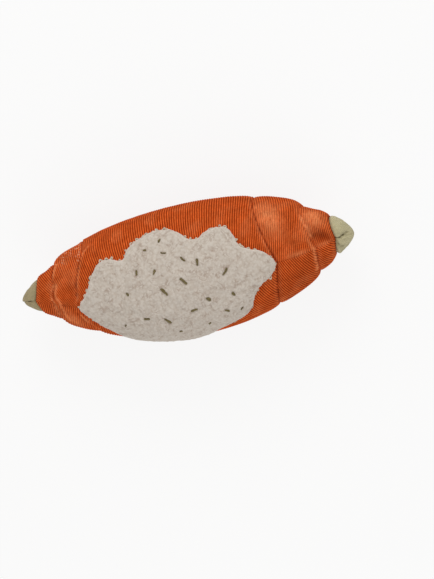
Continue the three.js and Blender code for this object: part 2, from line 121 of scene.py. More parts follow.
# The cloth
CLOTH = 1.2
SEAM_GAP = 0.06  # between the two covers' edges
SEAM_ALLOWANCE = 6  # turned in along the long seams
ALLOWANCE_SHARE = 0.4  # the most that it takes of the toy's half width, near the ends
FOLD_DEPTHS = [0.2, 0.15, 0.15, 0, 0.4, 0.15, 0.2]  # of the sharp fold right at each sewn line
FOLD_REACH = 0.5
PAINTED_LINE_SHADES = [0.7, 0.05, 0.05, 0, 0.8, 0, 0.8]  # how dark each line is painted, as shade in its crease
LINE_SHADE_REACH = 0.4
FOLD_UNEVENNESS = 0.4  # how much the folds, and the painted shade at them, vary along their lines
UNEVEN_LIMITS = [0.3, 1.6]
SEAM_FOLD = 0.02  # the depth of the fold along the long seams
SEAM_RELIEF = 0.6  # of the ribs' height, where they end at the seam
LINE_WEAR = [2.2, 1.4, 0.15]  # how far from a sewn line the nap is rubbed, over what reach, and how much
PATCH_WEAR = 0.2  # the same in random patches
# Pale nap, partly rubbed, partly painted highlight: along the toy and round it, how far it reaches each way,
# how much
WORN_AND_HIGHLIGHT_PLACES = [
    [-104.0, 1.2, 4.5, 0.35, 0.25],
    [77.0, 0.35, 0.7, 0.4, 0.5],
    [109.0, 0.1, 1.2, 0.3, 0.5],
    [88.0, 0.95, 7.5, 0.4, 1.1],
    [118.0, 1.05, 5.5, 0.4, 1.2],
    [97.0, 0.05, 9.0, 0.06, 0.7],
    [118.0, 0.03, 5.0, 0.08, 0.6],
    [-112.0, -0.35, 4.0, 0.4, 0.35],
    [-103.0, -0.5, 4.0, 0.4, 0.6],
]
# Painted shade: dark patches where hollows and the downward-facing lower cover lie in shade
PAINTED_SHADE_PLACES = [
    [-97.5, 0.55, 2.5, 0.4, 0.4],
    [113.0, 0.58, 1.4, 0.28, 0.8],
    [118.5, 0.36, 5.0, 0.28, 1.0],
    [123.5, 0.18, 3.0, 0.22, 0.6],
    [79.4, 0.25, 0.6, 0.25, 0.5],
    [79.6, -0.4, 1.3, 0.5, 0.4],
    [92.0, -0.75, 24.0, 0.5, 0.22],
]
# Where the worn pile has balled into pale flecks
PILLED_PLACES = [
    [-105.5, 1.45, 2.2, 0.3, 1.0],
    [-101.0, 1.75, 3.2, 0.35, 1.0],
    [-95.5, 1.6, 2.6, 0.3, 0.8],
    [-94.5, 1.25, 1.8, 0.15, 0.7],
]
# The sharp ridges and grooves that the sewing leaves: how wide each is, how high, how pale and how dark, and
# the places that it runs through, along the toy and round it
# The paleness is partly worn fuzz and partly a painted highlight on the ridges; the darkness is painted shade
# in the grooves
FOLD_LINES = [
    [0.8, 0.75, 1.4, 0, [(-110, 1.31), (-111, 1.18), (-112, 1.04), (-112.5, 0.91), (-113.5, 0.82)]],
    [0.7, 0.65, 1.3, 0, [(-112.5, 0.64), (-114.5, 0.49), (-115, 0.33), (-114.5, 0.16), (-113, 0.03)]],
    [0.8, 0.55, 1.1, 0, [(-109.5, 0.64), (-110, 0.54), (-111, 0.4), (-111, 0.25), (-109.5, 0.16)]],
    [0.8, -0.5, 0, 0.8, [(-111.5, 0.69), (-112, 0.52), (-113, 0.34), (-112.5, 0.16)]],
    [0.7, -0.4, 0, 0.8, [(-112, 1.37), (-113.5, 1.21), (-114, 0.94), (-114, 0.75)]],
    [0.6, -0.2, 0, 0.6, [(-116.5, 0.42), (-116.4, 0.3)]],
    [0.7, 0.5, 1.1, 0, [(-113, 0.03), (-113.5, -0.2), (-113.5, -0.68)]],
    [0.9, -0.6, 0, 0.9, [(-112.5, -0.01), (-112, -0.2), (-112, -0.42), (-111.5, -0.53)]],
    [1.0, 0.7, 1.2, 0, [(-109, 0.21), (-107.5, 0.08), (-107, -0.09), (-106.5, -0.56)]],
    [1.2, -0.2, 0, 0.5, [(-104, -0.02), (-104.5, 0.04)]],
    [1.2, -0.6, 0, 0.8, [(-93.5, 1.16), (-92.8, 1.0), (-92.5, 0.81), (-93.5, 0.55), (-93.3, 0.31)]],
    [0.7, 0.4, 0.7, 0, [(-85.5, 1.41), (-90.5, 1.26), (-91.5, 1.12), (-91, 0.8), (-92, 0.55), (-93, 0.16)]],
    [0.7, 0.4, 1.1, 0, [(-94.5, -0.23), (-93.5, -0.47), (-91.5, -0.51), (-87.5, -0.64)]],
    [1.0, -0.3, 0, 0.5, [(-96.5, -0.2), (-95.5, -0.5)]],
    [0.9, 0.7, 1.2, 0, [(110.5, 1.07), (111, 0.88), (112, 0.65), (112, 0.41)]],
    [1.1, -0.5, 0, 0.8, [(112.6, 1.0), (113.2, 0.75), (114, 0.5), (113.8, 0.38)]],
    [0.9, 0.4, 1.0, 0, [(109, 0.04), (109.5, -0.2), (109.8, -0.72)]],
    [0.9, -0.4, 0, 0.6, [(110.9, -0.16), (111.3, -0.65)]],
    [0.5, -0.2, 0, 0.9, [(95.8, 0.01), (96.6, 0.02)]],
]
EDGE_ROLL = 0.7  # how far a cover's edge rolls in over the tip's cloth
EDGE_ROLL_REACH = 0.45
TURNED_IN_AT_TIPS = EDGE_ROLL + 0.5
LINING_STEP = 5.0
LINING_INSET = 2  # from the joins with the tips
LINING_CLEARANCE = 2.5  # of the lining's points from the seams
LINING_DEPTH = CLOTH + 0.6

# The corduroy: the ribs' turn in the flat cloth, in degrees, for the five panels of each cover
RIB_PITCH = 2.0
RIB_RELIEF = 0.85
RIB_MIDDLE = 0.55  # the share of a rib's height that lies on the cloth's face
RIB_ROUNDNESS = 0.93
RIB_FOOT = 0.2646  # of a round back's height, at its groove
RIB_WANDER = 0.12
RIB_UNEVENNESS = 0.14
RIB_FADE = 1.1  # how far from a sewn line the ribs reach their full height
RIB_FADE_AT_SEAM = 0.9
FLAT_RIB_SHADE = 0.25  # how much painted shade darkens a rib's back where it has lost its height
RIB_COLUMNS = [-0.5, -0.35, -0.13, 0.13, 0.35]  # shares of the pitch, from one groove to the next
RIB_STEP = 1.1  # along a rib
RIB_TURNS = {1: [-12, -3, 0, -9, -6], -1: [14, 14, 10, 1, 0]}  # the upper cover's and the lower one's
EDGE_STEP = 0.5
LINE_MARGIN = 0.25  # of the ribs' points from the sewn lines
SEAM_MARGIN = 0.4
NEWTON_STEPS = 5
LONGEST_MOVE = np.array([8, 0.3])  # of one of them, along the toy and round it
PAST_PANEL = np.array([4, 0.2])  # how far past a panel's edges they may lead
CLOTH_MAP = 50  # of cloth for a length of 1 in its map

# The topping's wavy edge: [along the toy, round it from the front seam]
TOPPING_EDGE = [
    [-91, 2], [-83, 15], [-77, 29], [-70, 38], [-60, 40], [-48, 38], [-43, 47], [-33, 54], [-18, 59.5],
    [-4, 57], [6, 50], [14, 43], [21, 41], [29, 45], [40, 45.5], [50, 42], [54, 33], [56, 24], [64, 18],
    [73, 13], [77.5, 1], [73, -8], [64, -13], [57, -21], [53, -31], [46, -39], [34, -44], [20, -49],
    [6, -57], [-12, -62], [-30, -57], [-46, -52], [-62, -41], [-75, -24], [-84, -11],
]
PILE = 4
CUT_EDGE = 0.3  # the share of the pile that stands at the cut edge
EDGE_ROUND = [0.36, 0.45]  # the share that the round of the edge adds, and how far it reaches
EDGE_SLOPE = [0.34, 3.2]  # the same for the slope behind it
RIM_HIGHLIGHT_REACH = 0.9  # of the painted highlight along the cut edge
NUB_SIZE = 1.9
NUB_HEIGHT = 0.24
NUB_MIDDLE = 0.55  # the share of its height that lies on the fleece's mean surface
NUB_SHIFT = 0.55
CHIVE_HEIGHT = 3.6  # of a chive's edges over the cloth under the topping
# Layers of waves: length, height and the random draw's number
RAGGEDNESS = [[5, 0.14, 21], [2, 0.1, 22]]
SWELL = [[15, 0.2, 32], [5, 0.12, 33]]
FLEECE_STEP = 0.62
UNDERSIDE_STEP = 2.5
UNDERSIDE_GAP = 0.1  # between the fleece and the covers under it

# The embroidered chives: [along, round from the front seam, degrees from the toy's length, length, width]
CHIVES = [
    [-13, 47, 58, 3.5, 1.3], [-26.9, 41.6, -8, 2.6, 1.3], [-11, 36, -20, 4.6, 1.3], [-37, 25.3, 82, 4.3, 1.7],
    [-22, 23, 64, 4.4, 1.6], [5, 27.2, -56, 5, 1.7], [16.8, 21.8, 80, 5.6, 1.9], [37, 8.5, 42, 6.8, 1.8],
    [1, 10.1, -55, 7.3, 2.3], [-17.1, 5.7, -58, 7.7, 2.4], [-48, 9.9, -52, 3, 2], [17.6, -9.8, -42, 4.2, 2.6],
    [39.5, -11.3, -66, 3.9, 1.9], [-38.5, -14.2, -12, 5, 1.8], [-22, -20.4, -62, 7, 2.2],
    [3.4, -16.8, 6, 5.8, 1.9], [31, -25, -41, 4, 1.7], [43.8, -27.2, 48, 2.9, 1], [-59, -17.4, 50, 2.5, 1.1],
    [13, -33.8, 28, 2.6, 1.1], [-14.5, -35.7, -8, 2.6, 1.1],
]


# Shape of the toy

def smoothstep(value, low=0.0, high=1.0):
    share = np.clip((value - low) / (high - low), 0, 1)
    return share * share * (3 - 2 * share)


def waves(points, size, seed, count=14):
    """Smooth noise of about unit strength, from random plane waves about that long."""
    draw = np.random.default_rng(seed)
    directions = draw.normal(size=(count, points.shape[-1]))
    lengths = np.linalg.norm(directions, axis=1) * size * draw.uniform(0.7, 1.5, count)
    phases = draw.uniform(0, 2 * math.pi, count)
    across = directions * (2 * math.pi / lengths[:, None])
    return np.sin(points @ across.T + phases).sum(-1) * (2 / count) ** 0.5


def layered_waves(points, layers):
    """The sum of some waves, each with its length, its height and its random draw's number."""
    return sum(height * waves(points, size, seed) for size, height, seed in layers)


def half_width(x):
    lens = np.clip(1 - (x / SPINDLE_END) ** 2, 1e-6, None)
    return HALF_WIDTH * lens**FULLNESS * (1 + RIGHT_END_PLUMPER * x)


def depth_ratio(x):
    return 1 - (1 - DEPTH_TO_WIDTH) * (1 - (x / SPINDLE_END) ** 2)


def bow(x):
    return AXIS_Y - SAG_SIDEWAYS * (1 - (x / SAG_END) ** 2) ** 2


def lean(station, turn):
    """How far along the toy a place lies from where its sewn line meets the front seam."""
    upper = np.interp(station, STATIONS, LEANS_UPPER)
    lower = np.interp(station, STATIONS, LEANS_LOWER)
    slant = np.abs(np.sin(turn))
    bend = np.interp(station, STATIONS, BENDS) * smoothstep(np.abs(turn), 0.6, 1.4) * slant
    return np.where(turn < 0, lower, upper) * slant + bend


def to_line(station):
    """Distance to the nearest sewn line."""
    return np.min([np.abs(station - line) for line in LINES], axis=0)


def near_lines(station, strengths, reach):
    """Each sewn line's strength, fading away from it."""
    return sum(strengths[k] * np.exp(-np.abs(station - STATIONS[k]) / reach) for k in SEWN)


def to_end(station):
    """Distance to the nearer of the two joins with the tips."""
    return np.minimum(np.abs(station + JOIN[-1]), np.abs(station - JOIN[1]))


def to_seam(turn, radius):
    """Distance to the nearer of the front and back seams."""
    return np.minimum(np.abs(turn), math.pi - np.abs(turn)) * radius


def in_places(places, station, turn):
    """The sum of soft patches: along the toy and round it, how far each reaches each way, and how much."""
    total = np.zeros(np.broadcast(station, turn).shape)
    for at, round_, wide, high, much in places:
        total += much * np.exp(-(((station - at) / wide) ** 2) - ((turn - round_) / high) ** 2)
    return total


def to_stretch(along, round_, start, way):
    """Distance from flat places to a straight stretch, from its start on by its way."""
    share = np.clip(((along - start[0]) * way[0] + (round_ - start[1]) * way[1]) / (way @ way), 0, 1)
    return np.hypot(along - start[0] - share * way[0], round_ - start[1] - share * way[1])


def to_path(station, turn, path):
    """Distance on the cloth to a line through some places."""
    round_ = turn * half_width(station)
    away = np.full(station.shape, np.inf)
    for (from_station, from_turn), (to_station, to_turn) in zip(path, path[1:]):
        start = np.array([from_station, from_turn * half_width(from_station)])
        way = np.array([to_station, to_turn * half_width(to_station)]) - start
        away = np.minimum(away, to_stretch(station, round_, start, way))
    return away


def pinch(station, turn, radius):
    """How far the sewing pulls the cloth in."""
    drawn = []
    for k in SEWN:
        away = station - STATIONS[k]
        reach = np.where(away < 0, REACH_LEFT[k], REACH_RIGHT[k])
        drawn.append(DEPTHS[k] * np.exp(-np.abs(away) / reach))
    at_seam = SEAM_DEPTH * np.exp(-to_seam(turn, radius) / SEAM_REACH)
    return np.max(drawn, axis=0) + at_seam + in_places(CRUMPLES, station, turn)


def surface(station, turn, out, sewn=True):
    """Points of the covers. Turn goes round from the front seam, positive over the upper cover. Out is the
    distance outside the cloth's face."""
    station, turn = np.broadcast_arrays(np.asarray(station, float), np.asarray(turn, float))
    x = station + lean(station, turn)
    pulled = pinch(station, turn, half_width(x)) if sewn else 0
    width = half_width(x) - pulled + out
    depth = half_width(x) * depth_ratio(x) - pulled + out
    angle = turn + np.radians(np.interp(station, STATIONS, SEAMS))
    y = bow(x) + width * np.sin(angle)
    z = AXIS_HEIGHT + depth * np.cos(angle)
    return np.stack([x, y, z], -1)


# The stuffing's push on the covers, from a cloth simulation

CONTROL_STEP = 3.0
CONTROL_TURNS = 96
PUSH_CAP = 0.9  # the farthest that the filling moves the cloth
PUSH_SMOOTHINGS = 5
PUSH_FRAMES = 20
PUSH_FADE = 6
PIN_REACH = 1.6
PIN_HEIGHT = 0.4  # over the surface that the toy lies on


def control_grid():
    count = round((JOIN[1] + JOIN[-1]) / CONTROL_STEP) + 1
    stations = np.linspace(-JOIN[-1], JOIN[1], count)
    turns = np.linspace(-math.pi, math.pi, CONTROL_TURNS, endpoint=False)
    return np.meshgrid(stations, turns, indexing="ij")


def filled_cover(points):
    """The covers as one closed mesh over the control grid."""
    rows, columns = points.shape[:2]
    ends = [points[0].mean(0), points[-1].mean(0)]
    everything = np.concatenate([points.reshape(-1, 3), ends]) * MM
    faces = []
    for j in range(columns):
        after = (j + 1) % columns
        for i in range(rows - 1):
            here, ahead = i * columns, (i + 1) * columns
            faces.append((here + j, here + after, ahead + after, ahead + j))
        faces.append((rows * columns, after, j))
        faces.append((rows * columns + 1, (rows - 1) * columns + j, (rows - 1) * columns + after))
    mesh = bpy.data.meshes.new("filled_cover")
    mesh.from_pydata(everything.tolist(), [], faces)
    cover = bpy.data.objects.new("filled_cover", mesh)
    bpy.context.scene.collection.objects.link(cover)
    return cover


def evened_out(push):
    """The pushes, smoothed round the toy and along it."""
    for _ in range(PUSH_SMOOTHINGS):
        push = (np.roll(push, 1, axis=1) + 2 * push + np.roll(push, -1, axis=1)) / 4
        before, after = np.concatenate([push[:1], push[:-1]]), np.concatenate([push[1:], push[-1:]])
        push = (before + 2 * push + after) / 4
    return push


def simulate_stuffing():
    """How far each point of the control grid moves when the cover is filled, while its sewing holds it."""
    station, turn = control_grid()
    points = surface(station, turn, 0)
    cover = filled_cover(points)
    held = (to_line(station) < PIN_REACH) | (to_seam(turn, half_width(station)) < PIN_REACH)
    held |= points[..., 2] < PIN_HEIGHT
    pinned = np.flatnonzero(held.ravel()).tolist() + [station.size, station.size + 1]
    cover.vertex_groups.new(name="sewn").add(pinned, 1.0, "REPLACE")
    cloth = cover.modifiers.new("Cloth", "CLOTH")
    settings = cloth.settings
    settings.quality = 6
    settings.vertex_group_mass = "sewn"
    settings.use_pressure = True
    settings.uniform_pressure_force = 1.5
    settings.shrink_min = -0.005
    settings.bending_stiffness = 5
    settings.effector_weights.gravity = 0
    cloth.point_cache.frame_start = 1
    cloth.point_cache.frame_end = PUSH_FRAMES
    for number in range(1, PUSH_FRAMES + 1):
        bpy.context.scene.frame_set(number)
    evaluated = cover.evaluated_get(bpy.context.evaluated_depsgraph_get())
    moved = np.array([v.co for v in evaluated.data.vertices])[: station.size].reshape(points.shape) / MM
    bpy.context.scene.frame_set(1)
    bpy.data.objects.remove(cover)
    push = moved - points
    size = np.linalg.norm(push, axis=-1, keepdims=True)
    push = evened_out(push * np.minimum(1, PUSH_CAP / np.maximum(size, 1e-9)))
    return push * smoothstep(to_end(station), 0, PUSH_FADE)[..., None]


PUSH = simulate_stuffing()


def cubic_weights(t):
    """Shares of the four nearest of evenly spaced points, some way between the middle two."""
    return [
        ((2 - t) * t - 1) * t / 2,
        ((3 * t - 5) * t * t + 2) / 2,
        ((4 - 3 * t) * t + 1) * t / 2,
        (t - 1) * t * t / 2,
    ]


def pushed(station, turn):
    """The stuffing's push between the control grid's points, by cubic interpolation."""
    rows, columns = PUSH.shape[:2]
    i = np.clip((station + JOIN[-1]) / CONTROL_STEP, 0, rows - 1 - 1e-6)
    j = (turn + math.pi) / (2 * math.pi) * columns
    row, column = np.floor(i).astype(int), np.floor(j).astype(int)
    total = 0
    for di, wi in zip(range(-1, 3), cubic_weights(i - row)):
        for dj, wj in zip(range(-1, 3), cubic_weights(j - column)):
            part = PUSH[np.clip(row + di, 0, rows - 1), (column + dj) % columns]
            total = total + part * (wi * wj)[..., None]
    return total


def cloth_point(station, turn, out, sewn=True):
    station, turn = np.broadcast_arrays(np.asarray(station, float), np.asarray(turn, float))
    p = surface(station, turn, out, sewn) + pushed(station, turn)
    p[..., 2] = np.maximum(p[..., 2], np.maximum(-out, 0))
    return p


def along_normals(place, station, turn, height, out=0.0, sewn=True):
    """Points of a cloth surface, raised by a height along its true normals."""
    step = 0.05
    here = place(station, turn, out, sewn)
    ahead = place(station + step, turn, out, sewn) - here
    radius = half_width(station)
    round_ = place(station, turn + step / radius, out, sewn) - here
    normal = np.cross(ahead, round_)
    normal /= np.linalg.norm(normal, axis=-1, keepdims=True)
    outward = here - np.stack([here[..., 0], bow(here[..., 0]), np.full(here.shape[:-1], AXIS_HEIGHT)], -1)
    normal *= np.sign((normal * outward).sum(-1, keepdims=True))
    raised = here + normal * np.asarray(height)[..., None]
    raised[..., 2] = np.maximum(raised[..., 2], 0)
    return raised


# Meshes and pieces

SHARP_FROM = math.radians(80)
TRIANGLE_HEIGHT = 0.866  # of an even triangle, against its side


def new_piece(name, points, faces, replaced=(), attributes=None, corner_uv=None):
    """A smooth mesh object from points in millimetres, riding on the toy's body."""
    mesh = bpy.data.meshes.new(name)
    mesh.from_pydata((np.asarray(points) * MM).tolist(), [], faces)
    for label, values in (attributes or {}).items():
        attribute = mesh.attributes.new(label, "FLOAT", "POINT")
        attribute.data.foreach_set("value", np.asarray(values, np.float32))
    if corner_uv is not None:
        layer = mesh.uv_layers.new(name="cloth")
        layer.data.foreach_set("uv", np.asarray(corner_uv, np.float32).ravel())
    mesh.shade_smooth()
    mesh.set_sharp_from_angle(angle=SHARP_FROM)
    piece = bpy.data.objects.new(name, mesh)
    bpy.context.scene.collection.objects.link(piece)
    return settle(piece, replaced)


def settle(piece, replaced=()):
    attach(piece, BODY)
    if replaced:
        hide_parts(*replaced)
    return piece


def triangulate(points, loop):
    """Triangles over flat points, inside a closed loop of them."""
    edges = [(loop[i], loop[(i + 1) % len(loop)]) for i in range(len(loop))]
    result = delaunay_2d_cdt([Vector(p) for p in points], edges, [], 1, 1e-7)
    original = [source[0] if source else -1 for source in result[3]]
    faces = [tuple(original[i] for i in face) for face in result[2]]
    return [face for face in faces if min(face) >= 0 and len(set(face)) == 3]


def triangle_lattice(low, high, step):
    """Points of a lattice of even triangles over a box."""
    across = np.arange(low[0], high[0], step)
    lines = []
    for i, y in enumerate(np.arange(low[1], high[1], step * TRIANGLE_HEIGHT)):
        lines.append(np.stack([across + (i % 2) * step / 2, np.full(len(across), y)], -1))
    return np.concatenate(lines)


def nearest(points, centres):
    """Distance from each flat point to the nearest centre, and which one that is."""
    tree = KDTree(len(centres))
    for index, (x, y) in enumerate(centres):
        tree.insert((x, y, 0), index)
    tree.balance()
    found = [tree.find((x, y, 0)) for x, y in points]
    return np.array([f[2] for f in found]), np.array([f[1] for f in found])


def crossed(one, other):
    """The area between two flat vectors, positive where the second one is turned anticlockwise."""
    return one[:, 0] * other[:, 1] - one[:, 1] * other[:, 0]


def grid_faces(rows, columns, start=0, flip=False, closed=False):
    """Four-sided faces over a grid of points, with the last column joined to the first if it is closed."""
    faces = []
    for i in range(rows - 1):
        for j in range(columns if closed else columns - 1):
            after = (j + 1) % columns
            face = (i * columns + j, i * columns + after, (i + 1) * columns + after, (i + 1) * columns + j)
            faces.append(tuple(start + n for n in (face[::-1] if flip else face)))
    return faces


# The corduroy covers

AXIS_XS = np.linspace(-136, 136, 545)
MERIDIAN = np.concatenate([[0], np.cumsum(np.hypot(np.diff(AXIS_XS), np.diff(half_width(AXIS_XS))))])
MERIDIAN -= np.interp(0, AXIS_XS, MERIDIAN)
NARROWING = -np.gradient(half_width(AXIS_XS), MERIDIAN)


def flat_cloth(station, turn):
    """Where a place of a cover lies when its cloth is laid out flat, each ring of the toy as an arc."""
    x = station + lean(station, turn)
    radius = half_width(x) * (1 + depth_ratio(x)) / 2
    around = radius * (np.abs(turn) - math.pi / 2)
    bend = (np.abs(turn) - math.pi / 2) * np.interp(x, AXIS_XS, NARROWING)
    straight = np.abs(bend) < 1e-6
    safe = np.where(straight, 1, bend)
    across = around * np.where(straight, 1, np.sin(safe) / safe)
    along = np.interp(x, AXIS_XS, MERIDIAN) + around * np.where(straight, bend / 2, (1 - np.cos(safe)) / safe)
    return np.stack([across, along], -1)


def rib_space(side, panel, station, turn):
    """Distance across the ribs and along them."""
    flat = flat_cloth(station, side * turn)
    angle = math.radians(RIB_TURNS[side][panel])
    across = flat[..., 1] * math.cos(angle) - flat[..., 0] * math.sin(angle)
    along = flat[..., 0] * math.cos(angle) + flat[..., 1] * math.sin(angle)
    return np.stack([across, along], -1)


def seam_edge(station):
    """The turn at which a cover ends beside a seam."""
    return SEAM_GAP / 2 / half_width(station)


def from_rib_space(side, panel, targets, low, high):
    """Stations and turns of places given across and along the ribs, by Newton's steps from near ones."""
    grid = np.stack(np.meshgrid(np.linspace(low, high, 30), np.linspace(0, math.pi, 60), indexing="ij"), -1)
    grid = grid.reshape(-1, 2)
    known = rib_space(side, panel, grid[:, 0], grid[:, 1])
    place = grid[nearest(targets, known)[1]]
    lowest, highest = [low, 0] - PAST_PANEL, [high, math.pi] + PAST_PANEL
    step = 1e-4
    for _ in range(NEWTON_STEPS):
        here = rib_space(side, panel, place[:, 0], place[:, 1])
        by_station = (rib_space(side, panel, place[:, 0] + step, place[:, 1]) - here) / step
        by_turn = (rib_space(side, panel, place[:, 0], place[:, 1] + step) - here) / step
        miss = targets - here
        size = crossed(by_station, by_turn)
        size = np.where(np.abs(size) < 1e-6, 1e-6, size)
        move = np.stack([crossed(miss, by_turn) / size, crossed(by_station, miss) / size], -1)
        place = np.clip(place + np.clip(move, -LONGEST_MOVE, LONGEST_MOVE), lowest, highest)
    miss = np.linalg.norm(rib_space(side, panel, place[:, 0], place[:, 1]) - targets, axis=1)
    return place[miss < 0.01]


def rib_lattice(side, panel, low, high):
    """Places of a panel on lines along its ribs."""
    station, turn = np.meshgrid(np.linspace(low, high, 40), np.linspace(0, math.pi, 80), indexing="ij")
    reach = rib_space(side, panel, station, turn).reshape(-1, 2)
    first, last = reach.min(0), reach.max(0)
    ribs = np.arange(math.floor(first[0] / RIB_PITCH), math.ceil(last[0] / RIB_PITCH) + 1)
    across = (ribs[:, None] + RIB_COLUMNS).ravel() * RIB_PITCH
    along = np.arange(first[1], last[1], RIB_STEP)
    targets = np.stack(np.meshgrid(across, along, indexing="ij"), -1).reshape(-1, 2)
    place = from_rib_space(side, panel, targets, low, high)
    radius = half_width(place[:, 0])
    inside = (place[:, 0] > low + LINE_MARGIN) & (place[:, 0] < high - LINE_MARGIN)
    inside &= (place[:, 1] * radius > SEAM_MARGIN) & ((math.pi - place[:, 1]) * radius > SEAM_MARGIN)
    return place[inside]


def rib_height(across):
    """Height of a rib's round back over its groove, from 0 to 1."""
    share = across / RIB_PITCH + 0.5
    share = np.abs(share - np.floor(share) - 0.5) * 2
    full_round = (np.sqrt(1 - RIB_ROUNDNESS * share**2) - RIB_FOOT) / (1 - RIB_FOOT)
    return 0.5 * full_round + 0.25 * (1 + np.cos(math.pi * share))


def cover_rims():
    """Places on a cover's sewn lines and along its seams, and where each row of them starts."""
    places, rows, seams = [], [], []

    def add(station, turn):
        start = sum(len(p) for p in places)
        places.append(np.stack(np.broadcast_arrays(station, turn), -1))
        return start

    for line in LINES:
        edge = seam_edge(line)
        count = round(math.pi * half_width(line) / EDGE_STEP)
        rows.append((add(np.float64(line), np.linspace(edge, math.pi - edge, count)), count))
    for low, high in PANELS:
        inner = np.linspace(low, high, round((high - low) / EDGE_STEP) + 1)[1:-1]
        front = add(inner, seam_edge(inner))
        back = add(inner, math.pi - seam_edge(inner))
        seams.append((front, back, len(inner)))
    return places, rows, seams


def row_of(start, count):
    return list(range(start, start + count))


def panel_loop(first_row, last_row, seam):
    """The closed line round a panel: its first sewn line, the back seam, its last line, the front seam."""
    front, back, count = seam
    return row_of(*first_row) + row_of(back, count) + row_of(*last_row)[::-1] + row_of(front, count)[::-1]


def cover_loop(rows, seams):
    """The closed line round a whole cover."""
    ahead, returning = [], []
    for k, (front, back, count) in enumerate(seams):
        if k:
            ahead.append(row_of(*rows[k])[-1])
            returning.append(rows[k][0])
        ahead += row_of(back, count)
        returning += row_of(front, count)
    return row_of(*rows[0]) + ahead + row_of(*rows[-1])[::-1] + returning[::-1]


def cover_relief(station, turn, across):
    """Height of the corduroy over a cover's smooth face, and the masks that its colour follows."""
    radius = half_width(station)
    line_away, seam_away = to_line(station), to_seam(turn, radius)
    spread_out = np.stack([station, turn * radius], -1)
    rib = rib_height(across + RIB_WANDER * waves(spread_out, size=40, seed=7))
    full = smoothstep(line_away, 0, RIB_FADE)
    full *= SEAM_RELIEF + (1 - SEAM_RELIEF) * smoothstep(seam_away, 0, RIB_FADE_AT_SEAM)
    full *= 1 - RIB_UNEVENNESS + RIB_UNEVENNESS * waves(spread_out, size=14, seed=11)
    uneven = np.clip(1 + FOLD_UNEVENNESS * waves(spread_out, size=9, seed=13), *UNEVEN_LIMITS)
    rolled_in = EDGE_ROLL * np.exp(-to_end(station) / EDGE_ROLL_REACH)
    fold = near_lines(station, FOLD_DEPTHS, FOLD_REACH) * uneven
    fold += SEAM_FOLD * np.exp(-seam_away / FOLD_REACH) + rolled_in
    # Along the fold lines: paleness on the ridges, partly worn fuzz and partly painted highlight, and painted
    # shade in the grooves
    rise, pale, dark = np.zeros((3, len(station)))
    for wide, high, line_wear_and_highlight, darker, path in FOLD_LINES:
        on_line = np.exp(-((to_path(station, turn, path) / wide) ** 2)) * uneven
        rise += high * on_line
        pale += line_wear_and_highlight * on_line
        dark += darker * on_line
    height = RIB_RELIEF * (rib - RIB_MIDDLE) * full - fold + rise
    beside, reach, rubbed = LINE_WEAR
    worn = rubbed * np.exp(-(((line_away - beside) / reach) ** 2))
    worn += PATCH_WEAR * smoothstep(waves(spread_out, size=26, seed=3), 0.4, 2.0)
    # Painted shade along the sewn lines, joined below by the shaded patches and the fold lines' grooves
    crease = near_lines(station, PAINTED_LINE_SHADES, LINE_SHADE_REACH) * uneven
    # The pale mask is partly rubbed nap and partly painted highlight
    masks = {
        "rib": rib * (1 - FLAT_RIB_SHADE + FLAT_RIB_SHADE * full),
        "worn": np.clip(worn + in_places(WORN_AND_HIGHLIGHT_PLACES, station, turn) + pale, 0, 1),
        "pilled": np.clip(in_places(PILLED_PLACES, station, turn), 0, 1),
        "crease": np.clip(crease + in_places(PAINTED_SHADE_PLACES, station, turn) + dark, 0, 1),
    }
    return height, masks


def cover_lining(side, rim):
    """Points and triangles of a cover's coarse lining. The first points are the rim's, turned in."""
    low, high = [LINES[0] + LINING_INSET, 0], [LINES[-1] - LINING_INSET, math.pi * HALF_WIDTH]
    inner = triangle_lattice(low, high, LINING_STEP)
    inner[:, 1] /= HALF_WIDTH
    inner = inner[to_seam(inner[:, 1], half_width(inner[:, 0])) > LINING_CLEARANCE]
    faces = triangulate(np.concatenate([rim, inner]) * [1, HALF_WIDTH], list(range(len(rim))))
    at_seam = to_seam(rim[:, 1], half_width(rim[:, 0])) < EDGE_STEP
    allowance = np.minimum(SEAM_ALLOWANCE, ALLOWANCE_SHARE * half_width(rim[:, 0]))
    turned_in = np.where(at_seam, allowance, TURNED_IN_AT_TIPS)
    edge = cloth_point(rim[:, 0], side * rim[:, 1], -turned_in)
    return np.concatenate([edge, cloth_point(inner[:, 0], side * inner[:, 1], -LINING_DEPTH)]), faces


